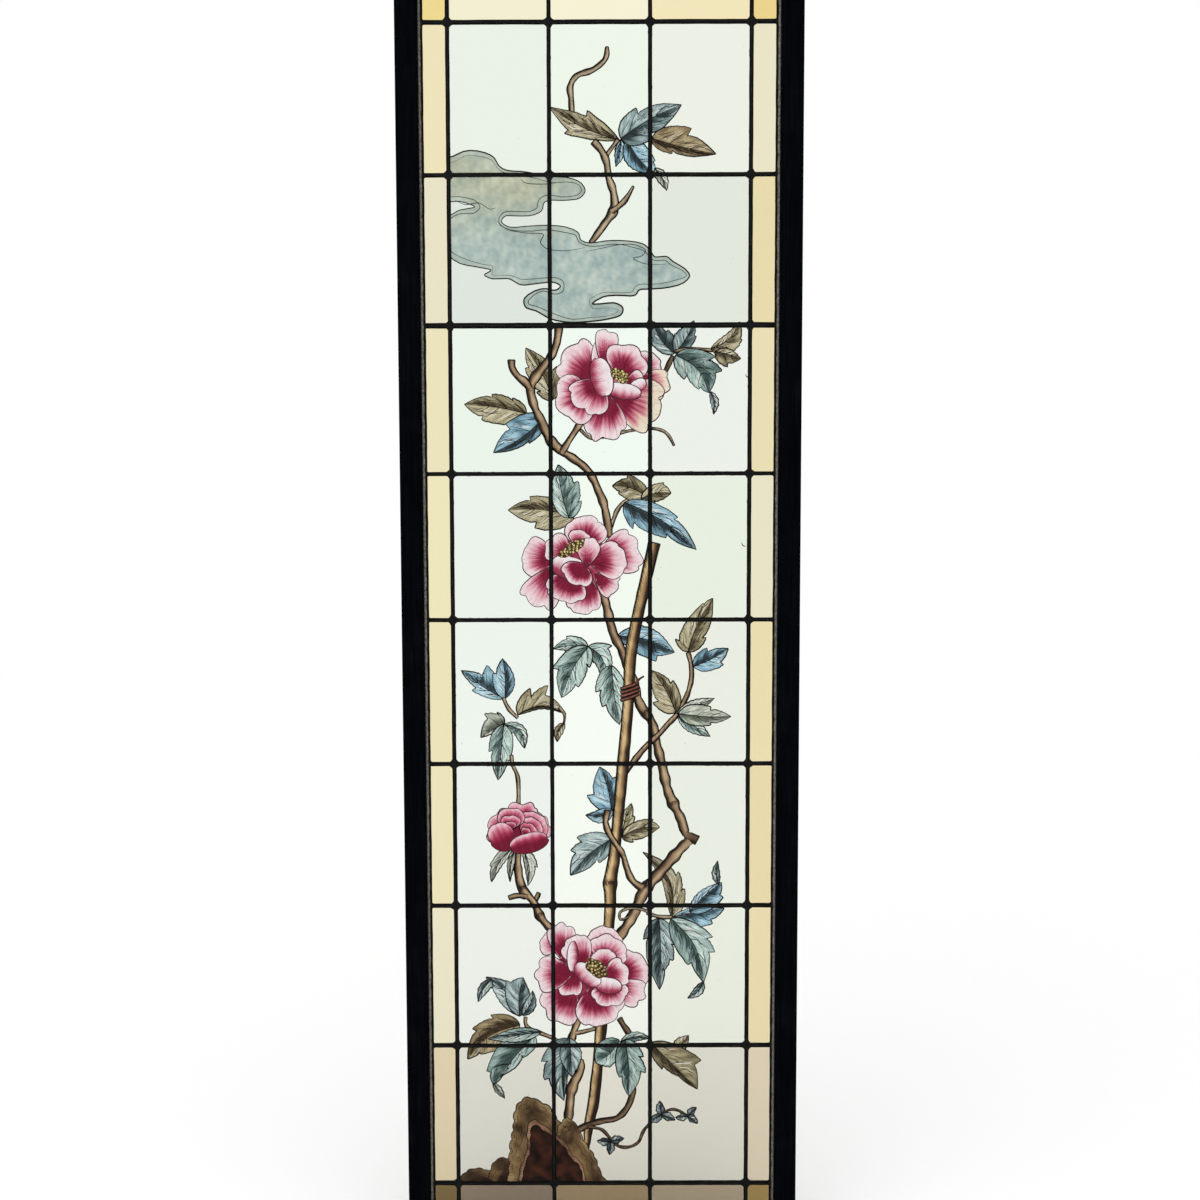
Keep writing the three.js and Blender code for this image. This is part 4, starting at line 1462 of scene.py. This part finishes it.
def visible_runs():
    """Cuts the strokes where a later area covers them and at the cames. Returns runs by pane."""
    layers, kinds, paths, widths, stays = zip(*strokes)
    lines = [fine(*line) for line in zip(paths, widths)]
    path, wide = (np.concatenate(part) for part in zip(*lines))
    counts = [len(line[0]) for line in lines]
    layer, stay, number = (np.repeat(part, counts) for part in (layers, stays, range(len(strokes))))
    seen = np.ones(len(path), bool)
    for k, (outline, _) in enumerate(areas):
        near = in_box(path, outline)
        own = (layer == k) & stay
        seen &= ~own | near
        test = np.flatnonzero(seen & near & ((layer < k) | own))
        if len(test):
            hit = inside(path[test], outline)
            seen[test] = np.where(own[test], hit, ~hit)
    column = np.searchsorted(COLUMN_LINES, path.real) - 1
    row = np.searchsorted([-z for z in ROW_LINES], -path.imag)
    seen &= (column >= 0) & (column < len(COLUMNS)) & (row >= 1) & (row < len(ROW_LINES))
    for line in COLUMN_LINES:
        seen &= np.abs(path.real - line) > UNDER_FLANGE
    for line in ROW_LINES:
        seen &= np.abs(path.imag - line) > UNDER_FLANGE
    runs = {}
    breaks = np.flatnonzero(np.diff(np.stack([number, seen, column, row])).any(0)) + 1
    for chunk in np.split(np.arange(len(path)), breaks):
        first = chunk[0]
        if seen[first] and len(chunk) > 1:
            pane = runs.setdefault((int(row[first]), int(column[first])), [])
            pane.append((kinds[number[first]], *thinned(path[chunk], wide[chunk])))
    return runs


def line_mesh(row, column, runs):
    """The painted lines of a pane, as thin raised strips that show from both sides of the wash."""
    kinds = list(INKS)
    vertices, faces, marks = [], [], []
    back = GLASS_FRONT - INK_BACK
    for kind, path, widths in runs:
        front = GLASS_FRONT - INKS[kind][1]
        side = leftward(path) * widths / 2
        start = len(vertices)
        for a, b in zip(path + side, path - side):
            corners = ((a, front), (b, front), (b, back), (a, back))
            vertices.extend([(place.real, y, place.imag) for place, y in corners])
        for j in range(len(path) - 1):
            n = start + 4 * j
            for k in range(4):
                m = (k + 1) % 4
                faces.append((n + k, n + 4 + k, n + 4 + m, n + m))
        last = start + 4 * (len(path) - 1)
        faces.append((start, start + 1, start + 2, start + 3))
        faces.append((last + 3, last + 2, last + 1, last))
        marks.extend([kinds.index(kind)] * (4 * len(path) - 2))
    name = f"painted_lines_{row}_{COLUMNS[column]}"
    piece(name, vertices, faces, INK_MATERIALS, marks)


def paint():
    """Draws the picture and turns it into sheets of wash and painted lines, pane by pane."""
    for group in GROUPS:
        group()
    for row in ROWS:
        for column in range(len(COLUMNS)):
            wash_mesh(row, column)
    for (row, column), runs in sorted(visible_runs().items()):
        line_mesh(row, column, runs)


# ---------------------------------------------------------------- stage, light and camera


# In metres, watts and degrees.
FLOOR_HALF, FLOOR_DROP = 6.0, 0.001
KEY_SIZE, KEY_POWER, KEY_PLACE, KEY_AIM = 2.5, 12, (-2.2, -2.6, 2.6), (0, 0, 0.9)
CAMERA_PLACE, CAMERA_PITCH, CAMERA_ROLL, CAMERA_TURN = (0.0063, -2.0, 1.0292), 4.456, 0.142, 0.196
LENS, SENSOR = 44.9, 36.0


def stage():
    """A plain pale floor, an even white surround and one soft light."""
    world = bpy.data.worlds.new("white_surround")
    world.use_nodes = True
    world.node_tree.nodes["Background"].inputs["Color"].default_value = (1, 1, 1, 1)
    world.node_tree.nodes["Background"].inputs["Strength"].default_value = 1.0
    bpy.context.scene.world = world
    bpy.context.scene.view_settings.view_transform = "Standard"
    floor_mesh = bpy.data.meshes.new("floor")
    corners = [(x * FLOOR_HALF, y * FLOOR_HALF, 0) for x, y in ((-1, -1), (1, -1), (1, 1), (-1, 1))]
    floor_mesh.from_pydata(corners, [], [(0, 1, 2, 3)])
    floor = bpy.data.objects.new("floor", floor_mesh)
    floor.location.z = CAD_BOX[0][2] - FLOOR_DROP
    floor_mesh.materials.append(Shader("pale_floor", (255, 255, 255), 0.9, 0.0).material)
    bpy.context.scene.collection.objects.link(floor)
    light = bpy.data.lights.new("soft_key", "AREA")
    light.size = KEY_SIZE
    light.energy = KEY_POWER
    key = bpy.data.objects.new("soft_key", light)
    key.location = KEY_PLACE
    key.rotation_euler = (Vector(KEY_AIM) - key.location).to_track_quat("-Z", "Y").to_euler()
    bpy.context.scene.collection.objects.link(key)


def camera():
    """The photograph's view: from the middle, two metres off, tipped down a little."""
    data = bpy.data.cameras.new("camera")
    data.sensor_width = SENSOR
    data.lens = LENS
    made = bpy.data.objects.new("camera", data)
    made.location = CAMERA_PLACE
    made.rotation_euler = [math.radians(turn) for turn in (90 - CAMERA_PITCH, CAMERA_ROLL, CAMERA_TURN)]
    bpy.context.scene.collection.objects.link(made)
    bpy.context.scene.camera = made


camera()
stage()
paint_frame()
glaze()
lead_lattice()
putty_fillet()
paint()
